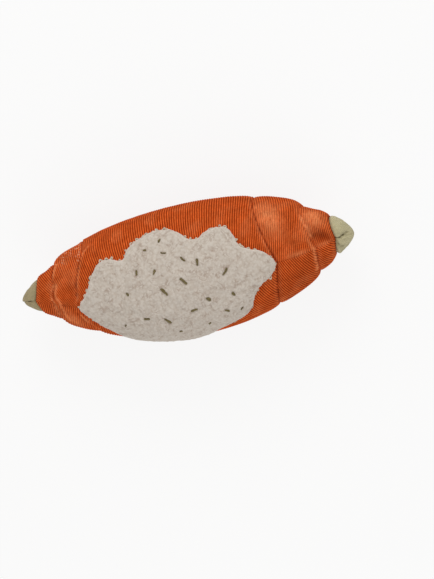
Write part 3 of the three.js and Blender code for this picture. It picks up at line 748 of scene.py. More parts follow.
def make_cover(name, side):
    places, rows, seams = cover_rims()
    faces, cloth_map, across_at = [], [], {}
    for panel, (low, high) in enumerate(PANELS):
        inner = rib_lattice(side, panel, low, high)
        start = sum(len(p) for p in places)
        places.append(inner)
        loop = panel_loop(rows[panel], rows[panel + 1], seams[panel])
        members = loop + row_of(start, len(inner))
        every = np.concatenate(places)[members]
        local = rib_space(side, panel, every[:, 0], every[:, 1])
        for face in triangulate(local * [1, RIB_PITCH / 5 / RIB_STEP], list(range(len(loop)))):
            faces.append(tuple(members[i] for i in face))
            cloth_map.extend(local[i] for i in face)
        for member, (across, _) in zip(members, local):
            across_at.setdefault(member, across)
    place = np.concatenate(places)
    count = len(place)
    station, turn = place[:, 0], side * place[:, 1]
    height, masks = cover_relief(station, turn, np.array([across_at[i] for i in range(count)]))
    outer = along_normals(cloth_point, station, turn, height)
    inside_out = not faces_point_out(outer, faces)

    # The outer side and the lining are joined all round by the turned-in edges
    loop = cover_loop(rows, seams)
    lining, lining_faces = cover_lining(side, place[loop])
    faces += [tuple(count + i for i in reversed(face)) for face in lining_faces]
    for i, (here, after) in enumerate(zip(loop, loop[1:] + loop[:1])):
        faces.append((here, after, count + (i + 1) % len(loop), count + i))
    # Triangles come out anticlockwise in flat space, which is inwards on one of the two covers
    cloth_map = np.array(cloth_map)
    if inside_out:
        faces = [face[::-1] for face in faces]
        cloth_map = cloth_map.reshape(-1, 3, 2)[:, ::-1].reshape(-1, 2)
    unmapped = sum(len(face) for face in faces) - len(cloth_map)
    cloth_map = np.concatenate([cloth_map, np.zeros((unmapped, 2))]) / CLOTH_MAP
    # The lining gets no marks but full painted shade
    for label, values in masks.items():
        masks[label] = np.concatenate([values, np.full(len(lining), float(label == "crease"))])
    points = np.concatenate([outer, lining])
    return new_piece(f"{name}_corduroy", points, faces, [name], masks, cloth_map)


def faces_point_out(points, faces):
    """Whether most of a side's faces look away from the toy's axis."""
    corners = np.asarray(points)[np.asarray(faces[:: max(1, len(faces) // 500)])]
    normal = np.cross(corners[:, 1] - corners[:, 0], corners[:, 2] - corners[:, 0])
    middle = corners.mean(1)
    outward = middle - np.stack([middle[:, 0], bow(middle[:, 0]), np.full(len(middle), AXIS_HEIGHT)], -1)
    return ((normal * outward).sum(-1) > 0).mean() > 0.5


# The tips

TIP_CLOTH = 1.0
TIP_TUCKED = 3.0  # how far a tip's cloth runs on inside the covers
TIP_DIP = 0.4  # how much deeper it lies there, and how far in from the edge
TIP_DIP_REACH = 2
TIP_SPACING = 0.45  # of its points along it
TIP_ROUND_SPACING = 0.5625
LAST_ROWS = [0.4, 0.2, 0.08, 0.02, 0]  # of its points, before its end
TIP_GROOVE = {-1: 0.8, 1: 1.3}  # where it comes out from under the covers' edge, on the upper half
LOWER_GROOVE = {-1: 0.7, 1: 0.5}
GROOVE_REACH = 0.9
JOIN_SHADE = 1.2  # painted shade on its cloth right beside the covers' edge
SLIT_DEPTH = 0.5  # between a tip's two halves
SLIT_REACH = 0.9
TIP_LUMPS = 0.2
# How much fuller the lower halves are: at which share of the length, how far that reaches, and how much
LOWER_FULLNESS = {-1: [0.95, 0.2, 1.2], 1: [0.13, 0.16, 1.6]}
SHORTER_LOWER_HALF = 1.2  # of the pointed tip
END_ROUNDING = {-1: 14, 1: 9}
# Where the pointed tip's seam is pulled open: how far along it, how long and wide the hollow is, and how deep
HOLLOW = [5.2, 1.6, 0.9, 2.0]
# Folds of the round tip's pucker: where each starts and ends, along the toy and round it from the pucker's
# middle on the seam, how deep it is and how wide
PUCKER = 3.4
PUCKER_FOLDS = [
    [-3.6, 0, 0, 0, 0.8, 1.0],
    [0, 0, 2.6, 2.3, 1.3, 1.1],
    [2.6, 2.3, 6.7, 6.7, 1.3, 1.2],
    [2.6, 2.3, 7.0, 2.2, 0.6, 0.8],
    [-2.4, -2.6, -1.6, -6.5, 0.9, 1.2],
    [-1.6, -6.5, 1.2, -11.5, 0.9, 1.4],
    [1.5, -2.0, 6.0, -3.6, 0.35, 0.8],
    [-2.8, 4.2, 0.8, 5.0, 0.4, 0.7],
    [-2.6, 7.4, 0.2, 8.8, 0.45, 0.7],
    [-2.4, 10.6, 0.0, 12.2, 0.4, 0.7],
]


def smooth_table(values, share):
    """Value at a share of the way through even steps, on a smooth curve."""
    place = np.clip(share, 0, 1) * (len(values) - 1)
    step = np.clip(np.floor(place).astype(int), 0, len(values) - 2)
    t = place - step
    row = np.array([2 * values[0] - values[1], *values, 2 * values[-1] - values[-2]])
    before, here, after, beyond = row[step], row[step + 1], row[step + 2], row[step + 3]
    bend = 2 * before - 5 * here + 4 * after - beyond + t * (3 * (here - after) + beyond - before)
    return here + 0.5 * t * (after - before + t * bend)


def in_fold(along, round_, fold):
    """How deep a straight fold is at a place."""
    *start_and_end, depth, width = fold
    start = np.array(start_and_end[:2])
    away = to_stretch(along, round_, start, np.array(start_and_end[2:]) - start)
    return depth * np.exp(-((away / width) ** 2))


def tip_folds(end, beyond, turn):
    """How deep the creases of a tip are."""
    round_ = turn * half_width(end * JOIN[end])
    if end > 0:
        return sum(in_fold(beyond - PUCKER, round_, fold) for fold in PUCKER_FOLDS)
    middle, long, wide, deep = HOLLOW
    return deep * np.exp(-(((beyond - middle) / long) ** 2 + (round_ / wide) ** 2))


def tip_groove(end, turn):
    """How deep a tip's cloth is drawn in where it comes out of the covers."""
    lower = smoothstep(-turn, 0.2, 1.0)
    return TIP_GROOVE[end] + (LOWER_GROOVE[end] - TIP_GROOVE[end]) * lower


def tip_point(end, beyond, turn, out):
    """Points of a tip, from inside the covers' edge out to its end."""
    beyond, turn = np.broadcast_arrays(np.asarray(beyond, float), np.asarray(turn, float))
    join, line = JOIN[end], 0 if end < 0 else -1
    share = np.clip(beyond / (TIP_END[end] - join), 0, 1)
    aside = np.abs(np.sin(turn))
    base = half_width(end * (join - END_LEAN[end] * aside)) - DEPTHS[line] - TIP_STEP
    seam = to_seam(turn, base)
    drawn = SEAM_DEPTH * np.exp(-seam / SEAM_REACH) * (1 - share) ** 2
    drawn += SLIT_DEPTH * np.exp(-seam / SLIT_REACH)
    drawn += tip_groove(end, turn) * np.exp(-np.maximum(beyond, 0) / GROOVE_REACH)
    at, full_reach, fullness = LOWER_FULLNESS[end]
    drawn -= fullness * np.exp(-(((share - at) / full_reach) ** 2)) * smoothstep(-turn, 0, 0.6)
    drawn += tip_folds(end, beyond, turn)
    lumps = waves(np.stack([beyond, turn * base], -1), size=4.5, seed=5)
    drawn += TIP_LUMPS * lumps * np.sin(math.pi * share)
    shape = smooth_table(TIP_SHAPE[end], share)
    radius = np.maximum(shape * (base + out) - drawn * np.minimum(1, shape * 2), 0.05)
    radius = radius * np.sqrt(1 - share**END_ROUNDING[end])
    reach = beyond
    if end < 0:
        reach = beyond - SHORTER_LOWER_HALF * (turn < 0) * share**2
    x = end * (join + reach) - end * END_LEAN[end] * aside * (1 - share)
    angle = turn + math.radians(SEAMS[line])
    y = bow(x) - TIP_DROOP[end] * share + radius * np.sin(angle)
    z = AXIS_HEIGHT + radius * depth_ratio(join) * np.cos(angle)
    under = TIP_STEP + tip_groove(end, turn) + TIP_DIP * smoothstep(-beyond, 0, TIP_DIP_REACH)
    hidden = surface(end * (join + beyond), turn, out - under)
    return np.where((beyond < 0)[..., None], hidden, np.stack([x, y, z], -1))


def make_tip(name, end, side):
    join = JOIN[end]
    length = TIP_END[end] - join
    last = length - np.array(LAST_ROWS)
    evenly = np.linspace(-TIP_TUCKED, last[0], round((length + TIP_TUCKED) / TIP_SPACING))
    beyond = np.concatenate([evenly, last[1:]])
    columns = round(math.pi * half_width(end * join) / TIP_ROUND_SPACING)
    points, fold_shades = [], []
    for out in (0, -TIP_CLOTH):
        for distance in beyond:
            share = max(0, distance / length)
            radius = max(half_width(end * join) * float(smooth_table(TIP_SHAPE[end], share)), 1)
            edge = SEAM_GAP / 2 / radius
            turn = side * np.linspace(edge, math.pi - edge, columns)
            points.append(tip_point(end, distance, turn, out))
            # Painted shade in the tip's folds and beside the covers' edge
            shade = JOIN_SHADE * math.exp(-((distance / GROOVE_REACH) ** 2))
            fold_shades.append(tip_folds(end, distance, turn) + shade)
    points = np.concatenate(points)
    rows = len(beyond)
    flip = (end < 0) != (side < 0)
    faces = grid_faces(rows, columns, 0, flip) + grid_faces(rows, columns, rows * columns, not flip)
    rim = [i * columns for i in range(rows)] + [(rows - 1) * columns + j for j in range(1, columns)]
    rim += [i * columns + columns - 1 for i in range(rows - 2, -1, -1)] + list(range(columns - 2, 0, -1))
    under = rows * columns
    for a, b in zip(rim, rim[1:] + rim[:1]):
        wall = (a, b, b + under, a + under)
        faces.append(wall[::-1] if flip else wall)
    if not faces_point_out(points, faces[: (rows - 1) * (columns - 1)]):
        faces = [face[::-1] for face in faces]
    # The fold mask is painted shade
    attributes = {"fold": np.clip(np.concatenate(fold_shades) / 2, 0, 1)}
    return new_piece(f"{name}_cloth", points, faces, [name], attributes)


# The fleece topping

def smooth_stretch(p):
    """A smooth curve from the second to the third of four points. Its pace follows their spacing."""
    t = np.concatenate([[0], np.cumsum([math.dist(p[j], p[j + 1]) ** 0.5 for j in range(3)])])
    at = np.linspace(t[1], t[2], 24, endpoint=False)[:, None]
    a = [(p[j] * (t[j + 1] - at) + p[j + 1] * (at - t[j])) / (t[j + 1] - t[j]) for j in range(3)]
    b = [(a[j] * (t[j + 2] - at) + a[j + 1] * (at - t[j])) / (t[j + 2] - t[j]) for j in range(2)]
    return (b[0] * (t[2] - at) + b[1] * (at - t[1])) / (t[2] - t[1])


def topping_edge():
    """Points along the topping's outline, on a smooth closed curve, with the raggedness of cut fleece."""
    corners = np.array(TOPPING_EDGE, float)
    count = len(corners)
    stretches = [smooth_stretch([corners[(k + j) % count] for j in range(-1, 3)]) for k in range(count)]
    curve = np.concatenate(stretches + [stretches[0][:1]])
    travelled = np.concatenate([[0], np.cumsum(np.linalg.norm(np.diff(curve, axis=0), axis=1))])
    at = np.linspace(0, travelled[-1], round(travelled[-1] / FLEECE_STEP), endpoint=False)
    even = np.stack([np.interp(at, travelled, curve[:, k]) for k in (0, 1)], -1)
    way = np.roll(even, -1, axis=0) - np.roll(even, 1, axis=0)
    way /= np.linalg.norm(way, axis=1, keepdims=True)
    outwards = np.stack([-way[:, 1], way[:, 0]], -1)
    return even + outwards * layered_waves(even, RAGGEDNESS)[:, None]


def inside_outline(points, loop):
    """Which flat points lie inside a closed loop."""
    inside = np.zeros(len(points), bool)
    after = np.roll(loop, -1, axis=0)
    for (ax, ay), (bx, by) in zip(loop, after):
        if ay != by:
            crosses = (ay > points[:, 1]) != (by > points[:, 1])
            inside ^= crosses & (points[:, 0] < (bx - ax) * (points[:, 1] - ay) / (by - ay) + ax)
    return inside


def topping_point(along, round_, out, sewn=False):
    return cloth_point(along, round_ / half_width(along), out, sewn)


def topping_height(flat, away):
    """Height of the fleece over the cloth below it, and how much of a place is a nub's crown."""
    draw = np.random.default_rng(31)
    low, high = flat.min(0) - 3, flat.max(0) + 3
    centres = triangle_lattice(low, high, NUB_SIZE)
    centres = centres + draw.uniform(-NUB_SHIFT, NUB_SHIFT, centres.shape) * NUB_SIZE
    sizes = draw.uniform(0.2, 1, len(centres))
    distance, which = nearest(flat, centres)
    nub = np.sqrt(np.clip(1 - (distance / (0.7 * NUB_SIZE)) ** 2, 0, 1)) * sizes[which]
    pressed = 1 - smoothstep(to_chive(flat), -0.2, 1.1)
    body = CUT_EDGE
    for share, reach in (EDGE_ROUND, EDGE_SLOPE):
        body = body + share * (1 - np.exp(-away / reach))
    loose = 0.25 + 0.75 * smoothstep(away, 1, 6)
    swell = layered_waves(flat, SWELL)
    height = PILE * body + loose * (NUB_HEIGHT * nub - NUB_MIDDLE * NUB_HEIGHT + swell)
    return height + pressed * (CHIVE_HEIGHT - 0.1 - height), nub * (1 - pressed)


def to_chive(flat):
    """Distance to the nearest chive's edge."""
    away = np.full(len(flat), 99.0)
    for along, round_, degrees, length, width in CHIVES:
        way = np.array([math.cos(math.radians(degrees)), math.sin(math.radians(degrees))])
        offset = flat - [along, round_]
        straight = (length - width) / 2
        share = np.clip(offset @ way, -straight, straight)
        away = np.minimum(away, np.linalg.norm(offset - share[:, None] * way, axis=1) - width / 2)
    return away


def make_topping():
    edge = topping_edge()
    size = len(edge)
    lattice = triangle_lattice(edge.min(0), edge.max(0), FLEECE_STEP)
    lattice = lattice[inside_outline(lattice, edge)]
    away, _ = nearest(lattice, edge)
    clear = away > 0.4 * FLEECE_STEP
    flat = np.concatenate([edge, lattice[clear]])
    faces = triangulate(flat, list(range(size)))
    away = np.concatenate([np.zeros(size), away[clear]])
    height, nub = topping_height(flat, away)
    turn = flat[:, 1] / half_width(flat[:, 0])
    top = along_normals(cloth_point, flat[:, 0], turn, height, 0.0, False)
    coarse = triangle_lattice(edge.min(0), edge.max(0), UNDERSIDE_STEP)
    coarse = coarse[inside_outline(coarse, edge)]
    coarse_away, _ = nearest(coarse, edge)
    coarse = np.concatenate([edge, coarse[coarse_away > 1]])
    under = topping_point(coarse[:, 0], coarse[:, 1], UNDERSIDE_GAP, True)
    count = len(flat)
    closing = [tuple(count + i for i in reversed(face)) for face in triangulate(coarse, list(range(size)))]
    walls = [(k, count + k, count + (k + 1) % size, (k + 1) % size) for k in range(size)]
    if not clockwise(edge):
        walls = [wall[::-1] for wall in walls]
    everything = faces + closing + walls
    if not faces_point_out(top, faces):
        everything = [face[::-1] for face in everything]
    bare = np.zeros(len(under))
    # The rim mask is a painted highlight along the cut edge, full on the underside
    rim = np.exp(-away / RIM_HIGHLIGHT_REACH)
    attributes = {"nub": np.concatenate([nub, bare]), "rim": np.concatenate([rim, bare + 1])}
    points = np.concatenate([top, under])
    return new_piece("topping_fleece", points, everything, ["fleece_topping"], attributes)


def clockwise(loop):
    return crossed(loop, np.roll(loop, -1, axis=0)).sum() < 0


# The embroidered chives and the curls of yarn

THREAD = 0.19
THREAD_PITCH = 0.3
CHIVE_HALF_WIDTH = 1.0
CHIVE_RISE = 0.75
CHIVE_SLANTS = [8, 24]  # of its threads, in degrees
CHIVE_BEND = 0.12  # how far it may bend or hook, as a share of its length
CHIVE_WIDTHS = [0.66, 1.2]  # how its width varies along it
THREAD_WIDTHS = [0.85, 1.15]  # and from thread to thread
THREAD_SHIFTS = [0.16, 0.05]  # how far each thread may lie off its place, sideways and up
THREAD_TURN = 0.1
NARROW_END = 0.5  # how much narrower its ends are
LOW_END = 0.4  # how much lower the narrowest threads are
YARN = 0.32
CURL_HALF_WIDTH = 0.85
CURL_RISE = 2.0
# Shares of a curl of yarn's own thickness, width and length
SMALLEST_CURL = [0.75, 0.8, 0.45]
LARGEST_CURL = [1.1, 1.8, 1.05]
CURL_HEIGHTS = [0.5, 2.2]  # of its foot over the covers
CURL_INSETS = [0.3, 0.8]  # of its foot inside the edge
CURL_SHIFT = 0.8  # along the edge
CURLS_TOGETHER = [1, 1, 2]
CURL_GAPS = [3, 12]  # between them, in steps along the edge
LONG_GAP = 3  # times as long, for a quarter of them


def deselect_all():
    for thing in bpy.context.selected_objects:
        thing.select_set(False)


def bent_thread(name, radius, half_width_mm, rise, sides=6, steps=7):
    """One stitch: a thread over an arch, from one needle hole to the other, along Y."""
    deselect_all()
    bpy.ops.mesh.primitive_circle_add(vertices=sides, radius=radius * MM, fill_type="NGON")
    thread = bpy.context.object
    thread.name = name
    thread.data.transform(Matrix.Translation((0, -half_width_mm * MM, 0)))
    bpy.ops.object.mode_set(mode="EDIT")
    bpy.ops.mesh.select_all(action="SELECT")
    bpy.ops.mesh.spin(steps=steps, angle=math.pi, center=(0, 0, 0), axis=(1, 0, 0))
    bpy.ops.mesh.select_all(action="SELECT")
    bpy.ops.mesh.remove_doubles(threshold=1e-7)
    bpy.ops.mesh.normals_make_consistent(inside=False)
    bpy.ops.object.mode_set(mode="OBJECT")
    highest = max(abs(v.co.z) for v in thread.data.vertices)
    above = max(v.co.z for v in thread.data.vertices) > 0.5 * highest
    thread.data.transform(Matrix.Diagonal((1, 1, (1 if above else -1) * rise / half_width_mm, 1)))
    if not above:
        thread.data.flip_normals()
    thread.data.shade_smooth()
    return thread


def join_copies(name, pattern, places, replaced=()):
    """One piece out of a stitch's copies, each at its own place."""
    copies = []
    for place in places:
        copy = bpy.data.objects.new(name, pattern.data.copy())
        copy.data.transform(place)
        bpy.context.scene.collection.objects.link(copy)
        copies.append(copy)
    deselect_all()
    for copy in copies:
        copy.select_set(True)
    bpy.context.view_layer.objects.active = copies[0]
    if len(copies) > 1:
        bpy.ops.object.join()
    copies[0].name = name
    return settle(copies[0], replaced)


def make_edge_loops():
    """Curls of the fleece's yarn that stick out along its cut edge."""
    draw = np.random.default_rng(61)
    pattern = bent_thread("yarn_loop", YARN, CURL_HALF_WIDTH, CURL_RISE, 5, 7)
    # The yarn gets the full rim mask of the fleece's painted highlight, which its own finish doesn't read
    rim = pattern.data.attributes.new("rim", "FLOAT", "POINT")
    rim.data.foreach_set("value", np.ones(len(rim.data), np.float32))
    edge = topping_edge()
    way = np.roll(edge, -2, axis=0) - np.roll(edge, 2, axis=0)
    way /= np.linalg.norm(way, axis=1, keepdims=True)
    outward_flat = np.stack([-way[:, 1], way[:, 0]], -1) * (1 if clockwise(edge) else -1)
    places = []
    spot = 0.0
    while spot < len(edge) - 1:
        k = int(spot)
        for _ in range(draw.choice(CURLS_TOGETHER)):
            height = draw.uniform(*CURL_HEIGHTS)
            base = edge[k] + draw.uniform(-CURL_SHIFT, CURL_SHIFT) * way[k]
            base = base - draw.uniform(*CURL_INSETS) * outward_flat[k]
            here = topping_point(*base, height)
            outwards = unit(topping_point(*(base + outward_flat[k]), height) - here)
            along = unit(topping_point(*(base + way[k]), height) - here)
            up = np.cross(outwards, along)
            thick, wide, long = draw.uniform(SMALLEST_CURL, LARGEST_CURL)
            tilt = Matrix.Rotation(draw.uniform(-0.6, 0.6), 4, "Z")
            tilt = tilt @ Matrix.Rotation(draw.uniform(-0.4, 0.4), 4, "X")
            size = Matrix.Diagonal((thick, wide, long, 1))
            places.append(frame_matrix(here, up, along, outwards) @ tilt @ size)
        spot += draw.uniform(*CURL_GAPS) * (1 if draw.uniform() < 0.75 else LONG_GAP)
    join_copies("topping_edge_loops", pattern, places)
    bpy.data.objects.remove(pattern)


def frame_matrix(origin, ahead, aside, up):
    turned = Matrix((ahead, aside, up)).transposed().to_4x4()
    return Matrix.Translation(Vector(origin) * MM) @ turned


def unit(v):
    return v / np.linalg.norm(v)


def make_chive(number, pattern):
    along, round_, degrees, length, chive_width = CHIVES[number - 1]
    draw = np.random.default_rng(100 + number)
    corners = np.array([[along, round_], [along + 1, round_], [along, round_ + 1]])
    at = topping_point(corners[:, 0], corners[:, 1], CHIVE_HEIGHT)
    forward, sideways = unit(at[1] - at[0]), unit(at[2] - at[0])
    up = unit(np.cross(forward, sideways))
    sideways = np.cross(up, forward)
    angle = math.radians(degrees)
    ahead = math.cos(angle) * forward + math.sin(angle) * sideways
    aside = np.cross(up, ahead)
    base = frame_matrix(at[0], ahead, aside, up)
    count = round(length / THREAD_PITCH)
    slant = math.radians(draw.uniform(*CHIVE_SLANTS)) * draw.choice([-1, 1])
    bend, hook = draw.uniform(-CHIVE_BEND, CHIVE_BEND, 2) * length
    widths = draw.uniform(*CHIVE_WIDTHS, 4) * chive_width / 2
    aside_most, up_most = THREAD_SHIFTS
    places = []
    for k in range(count):
        share = (k + 0.5) / count
        narrow = 1 - NARROW_END * abs(2 * share - 1) ** 4
        width = narrow * float(smooth_table(widths, share)) * draw.uniform(*THREAD_WIDTHS)
        off_line = bend * 4 * share * (1 - share) + hook * max(0, share - 0.7)
        off_line += draw.uniform(-aside_most, aside_most)
        shift = Vector(((share - 0.5) * length, off_line, draw.uniform(-up_most, up_most))) * MM
        turn = Matrix.Rotation(slant + draw.uniform(-THREAD_TURN, THREAD_TURN), 4, "Z")
        size = Matrix.Diagonal((1, width, 1 - LOW_END + LOW_END * narrow, 1))
        places.append(base @ Matrix.Translation(shift) @ turn @ size)
    join_copies(f"chive_{number:02d}_stitched", pattern, places, [f"chive_{number:02d}"])


def make_chives():
    pattern = bent_thread("satin_thread", THREAD, CHIVE_HALF_WIDTH, CHIVE_RISE)
    for number in range(1, len(CHIVES) + 1):
        make_chive(number, pattern)
    bpy.data.objects.remove(pattern)


# The sewing

SEWING_THREAD = 0.3
STITCH_HALF_WIDTH = 1.1
STITCH_RISE = 0.4
TUCK_PITCH = 3.4
TUCK_STITCH_SINK = 0.4
SEAM_PITCH = 3.2
SEAM_STITCH_SINK = 0.9
CLOSING_PITCH = SEAM_PITCH * 1.3
CLOSING_STITCH_SINK = 0.7
CLOSING_FROM = -34  # of the hand-sewn stretch of the back seam, through which the toy was filled
CLOSING_TO = 36


def stitch_places(stations, turns, goes_round, height, wideness):
    """Where the stitches over a fold or a seam go. Each lies across it."""
    places = []
    for station, turn in zip(stations, turns):
        here = cloth_point(station, turn, height)
        if goes_round:
            ahead = cloth_point(station, turn + 0.5 / half_width(station), height) - here
        else:
            ahead = cloth_point(station + 0.5, turn, height) - here
        ahead = unit(ahead)
        up = here - np.array([here[0], bow(here[0]), AXIS_HEIGHT])
        up = unit(up - ahead * (up @ ahead))
        aside = np.cross(up, ahead)
        places.append(frame_matrix(here, ahead, aside, up) @ Matrix.Diagonal((1, wideness, 1, 1)))
    return places


def make_tuck_stitches(pattern):
    for k in SEWN[1:-1]:
        count = round(math.pi * half_width(STATIONS[k]) / TUCK_PITCH)
        stations = np.full(count, STATIONS[k], float)
        turns = (np.arange(count) + 0.5) / count * math.pi
        for side, name in ((1, "upper"), (-1, "lower")):
            places = stitch_places(stations, side * turns, True, -FOLD_DEPTHS[k] - TUCK_STITCH_SINK, 0.8)
            join_copies(f"tuck_stitches_{k}_{name}", pattern, places)


def make_seam_stitches(pattern):
    stations = np.arange(-JOIN[-1] + 4, JOIN[1] - 3, SEAM_PITCH)
    stations = stations[to_line(stations) > 1.5]
    places = stitch_places(stations, np.zeros(len(stations)), False, -SEAM_STITCH_SINK, 0.75)
    join_copies("front_seam_stitches", pattern, places)
    closing = np.arange(CLOSING_FROM, CLOSING_TO, CLOSING_PITCH)
    places = stitch_places(closing, np.full(len(closing), math.pi), False, -CLOSING_STITCH_SINK, 1.2)
    join_copies("closing_stitches", pattern, places)


def make_sewing():
    pattern = bent_thread("sewing_stitch", SEWING_THREAD, STITCH_HALF_WIDTH, STITCH_RISE, 5, 6)
    make_tuck_stitches(pattern)
    make_seam_stitches(pattern)
    bpy.data.objects.remove(pattern)


# The filling

FIBRE_INSET = 4.0  # inside the covers' face
FIBRE_SHORT = 5  # how far from the tips it ends
WAD_GAP = 0.8  # between the two wads
POCKET_RADIUS = 23.3
POCKET_WAIST = 9.8  # the radius where the right wad closes round the squeaker's neck
POCKET_NECK = 32.1  # how far the neck reaches into it
FIBRE_LUMPS = [[16, 0.9, 41], [6, 0.35, 42]]
FIBRE_SINK = 1.2  # how much deeper the lumps lie
FIBRE_COLUMNS = 72
FIBRE_ROWS = 44
WALL_ROWS = [0.8, 0.6, 0.4, 0.2, 0]  # of a wad's flat side, as shares of the way out from the pocket
POCKET_ROWS = 14


def fibre_ring(station, inset):
    turn = np.linspace(-math.pi, math.pi, FIBRE_COLUMNS, endpoint=False)
    ring = surface(station, turn, -inset)
    middle = ring.mean(0)
    lumps = layered_waves(ring, FIBRE_LUMPS)[:, None] - FIBRE_SINK
    outward = ring - middle
    return ring + outward / np.linalg.norm(outward, axis=1, keepdims=True) * lumps


def make_wad(name, replaced, end):
    """Fibre from one end of the toy to its middle, with half of the squeaker's pocket pressed into it."""
    far = end * (JOIN[end] - FIBRE_SHORT)
    near = end * WAD_GAP / 2
    rings = [fibre_ring(x, FIBRE_INSET) for x in np.linspace(far, near, FIBRE_ROWS)]
    centre = np.array([0, bow(0), AXIS_HEIGHT])
    spokes = rings[-1] - centre
    spokes[:, 0] = 0
    reach = np.linalg.norm(spokes, axis=1, keepdims=True)
    spokes /= reach
    for share in WALL_ROWS:
        at = POCKET_RADIUS + (reach - POCKET_RADIUS) * share
        ring = centre + spokes * at
        ring[:, 0] = near
        rings.append(ring)
    depth = POCKET_NECK if end > 0 else POCKET_RADIUS
    for x in np.linspace(abs(near), depth, POCKET_ROWS)[1:]:
        ball = math.sqrt(max(POCKET_RADIUS**2 - x**2, 0))
        radius = max(ball, POCKET_WAIST) if end > 0 else max(ball, 0.3)
        ring = centre + spokes * radius
        ring[:, 0] = end * x
        rings.append(ring)
    points = np.concatenate(rings)
    rows = len(rings)
    faces = grid_faces(rows, FIBRE_COLUMNS, 0, False, True)
    count = len(points)
    points = np.concatenate([points, [rings[0].mean(0), rings[-1].mean(0)]])
    last = (rows - 1) * FIBRE_COLUMNS
    for j in range(FIBRE_COLUMNS):
        after = (j + 1) % FIBRE_COLUMNS
        faces.append((count, after, j))
        faces.append((count + 1, last + j, last + after))
    if not faces_point_out(points, faces[: (FIBRE_ROWS - 1) * FIBRE_COLUMNS]):
        faces = [face[::-1] for face in faces]
    new_piece(name, points, faces, [replaced])


# Materials

def colour(red, green, blue):
    """A colour in the screen's steps from 0 to 255."""
    shares = [value / 255 for value in (red, green, blue)]
    return (*[s / 12.92 if s <= 0.04045 else ((s + 0.055) / 1.055) ** 2.4 for s in shares], 1)


def feed(tree, socket, value):
    """Gives an input its value, or links the socket that feeds it."""
    if isinstance(value, bpy.types.NodeSocket):
        tree.links.new(value, socket)
    else:
        socket.default_value = value


def node(tree, kind, inputs=None, **settings):
    """Adds a node. Each input is a value or the socket that feeds it."""
    made = tree.nodes.new(kind)
    for name, value in settings.items():
        setattr(made, name, value)
    for name, value in (inputs or {}).items():
        feed(tree, made.inputs[name], value)
    return made


def mix(tree, share, one, other, blend="MIX"):
    made = node(tree, "ShaderNodeMix", data_type="RGBA", blend_type=blend)
    for index, value in ((0, share), (6, one), (7, other)):
        feed(tree, made.inputs[index], value)
    return made.outputs[2]


def calculate(tree, operation, first, second=0.5, clamp=False):
    made = node(tree, "ShaderNodeMath", {0: first, 1: second}, operation=operation, use_clamp=clamp)
    return made.outputs[0]


def remap(tree, value, from_low, from_high, to_low=0.0, to_high=1.0):
    limits = {"From Min": from_low, "From Max": from_high, "To Min": to_low, "To Max": to_high}
    return node(tree, "ShaderNodeMapRange", {"Value": value, **limits}).outputs[0]


def noise(tree, vector, scale, detail, **more):
    inputs = {"Vector": vector, "Scale": scale, "Detail": detail, **more}
    return node(tree, "ShaderNodeTexNoise", inputs).outputs["Fac"]


def stored(tree, name):
    return node(tree, "ShaderNodeAttribute", attribute_name=name).outputs["Fac"]


def new_group(name, inputs, outputs):
    tree = bpy.data.node_groups.new(name, "ShaderNodeTree")
    for socket, kind in inputs:
        tree.interface.new_socket(socket, in_out="INPUT", socket_type=kind)
    for socket, kind in outputs:
        tree.interface.new_socket(socket, in_out="OUTPUT", socket_type=kind)
    return tree, tree.nodes.new("NodeGroupInput").outputs, tree.nodes.new("NodeGroupOutput").inputs


def use(tree, group, inputs):
    placed = tree.nodes.new("ShaderNodeGroup")
    placed.node_tree = group
    for name, value in inputs.items():
        feed(tree, placed.inputs[name], value)
    return placed.outputs[0]


def mottled_group():
    """A colour with uneven dye: darker and lighter patches, and finer flecks."""
    inputs = [("Vector", "NodeSocketVector"), ("Color", "NodeSocketColor"), ("Patches", "NodeSocketFloat"),
              ("Flecks", "NodeSocketFloat"), ("Strength", "NodeSocketFloat")]
    tree, given, result = new_group("mottled_dye", inputs, [("Color", "NodeSocketColor")])
    patches = noise(tree, given["Vector"], given["Patches"], 3.0)
    flecks = noise(tree, given["Vector"], given["Flecks"], 2.0)
    both = calculate(tree, "ADD", patches, flecks)
    uneven = calculate(tree, "SUBTRACT", both, 1.0)
    value = calculate(tree, "MULTIPLY_ADD", uneven, given["Strength"])
    value.node.inputs[2].default_value = 1.0
    shifted = node(tree, "ShaderNodeHueSaturation", {"Color": given["Color"], "Value": value})
    tree.links.new(shifted.outputs["Color"], result["Color"])
    return tree


def nap_group():
    """Height of the fine fibres that stand up from a cloth's face."""
    inputs = [("Vector", "NodeSocketVector"), ("Scale", "NodeSocketFloat")]
    tree, given, result = new_group("nap", inputs, [("Height", "NodeSocketFloat")])
    fine = noise(tree, given["Vector"], given["Scale"], 4.0, Roughness=0.7)
    tree.links.new(fine, result["Height"])
    return tree


def weave_group():
    """Height of a plain weave: two sets of threads, over and under each other."""
    inputs = [("Vector", "NodeSocketVector"), ("Scale", "NodeSocketFloat")]
    tree, given, result = new_group("plain_weave", inputs, [("Height", "NodeSocketFloat")])
    bent = node(tree, "ShaderNodeTexNoise", {"Vector": given["Vector"], "Scale": 400.0})
    offset = node(tree, "ShaderNodeVectorMath", {0: bent.outputs["Color"], 3: 0.6 * MM}, operation="SCALE")
    moved = node(tree, "ShaderNodeVectorMath", {0: given["Vector"], 1: offset.outputs[0]}, operation="ADD")
    threads = {"Vector": moved.outputs[0], "Scale": given["Scale"]}
    warp = node(tree, "ShaderNodeTexWave", threads, bands_direction="X")
    weft = node(tree, "ShaderNodeTexWave", threads, bands_direction="Y")
    height = calculate(tree, "MULTIPLY", warp.outputs["Fac"], weft.outputs["Fac"])
    tree.links.new(height, result["Height"])
    return tree


MOTTLED = mottled_group()
NAP = nap_group()
WEAVE = weave_group()


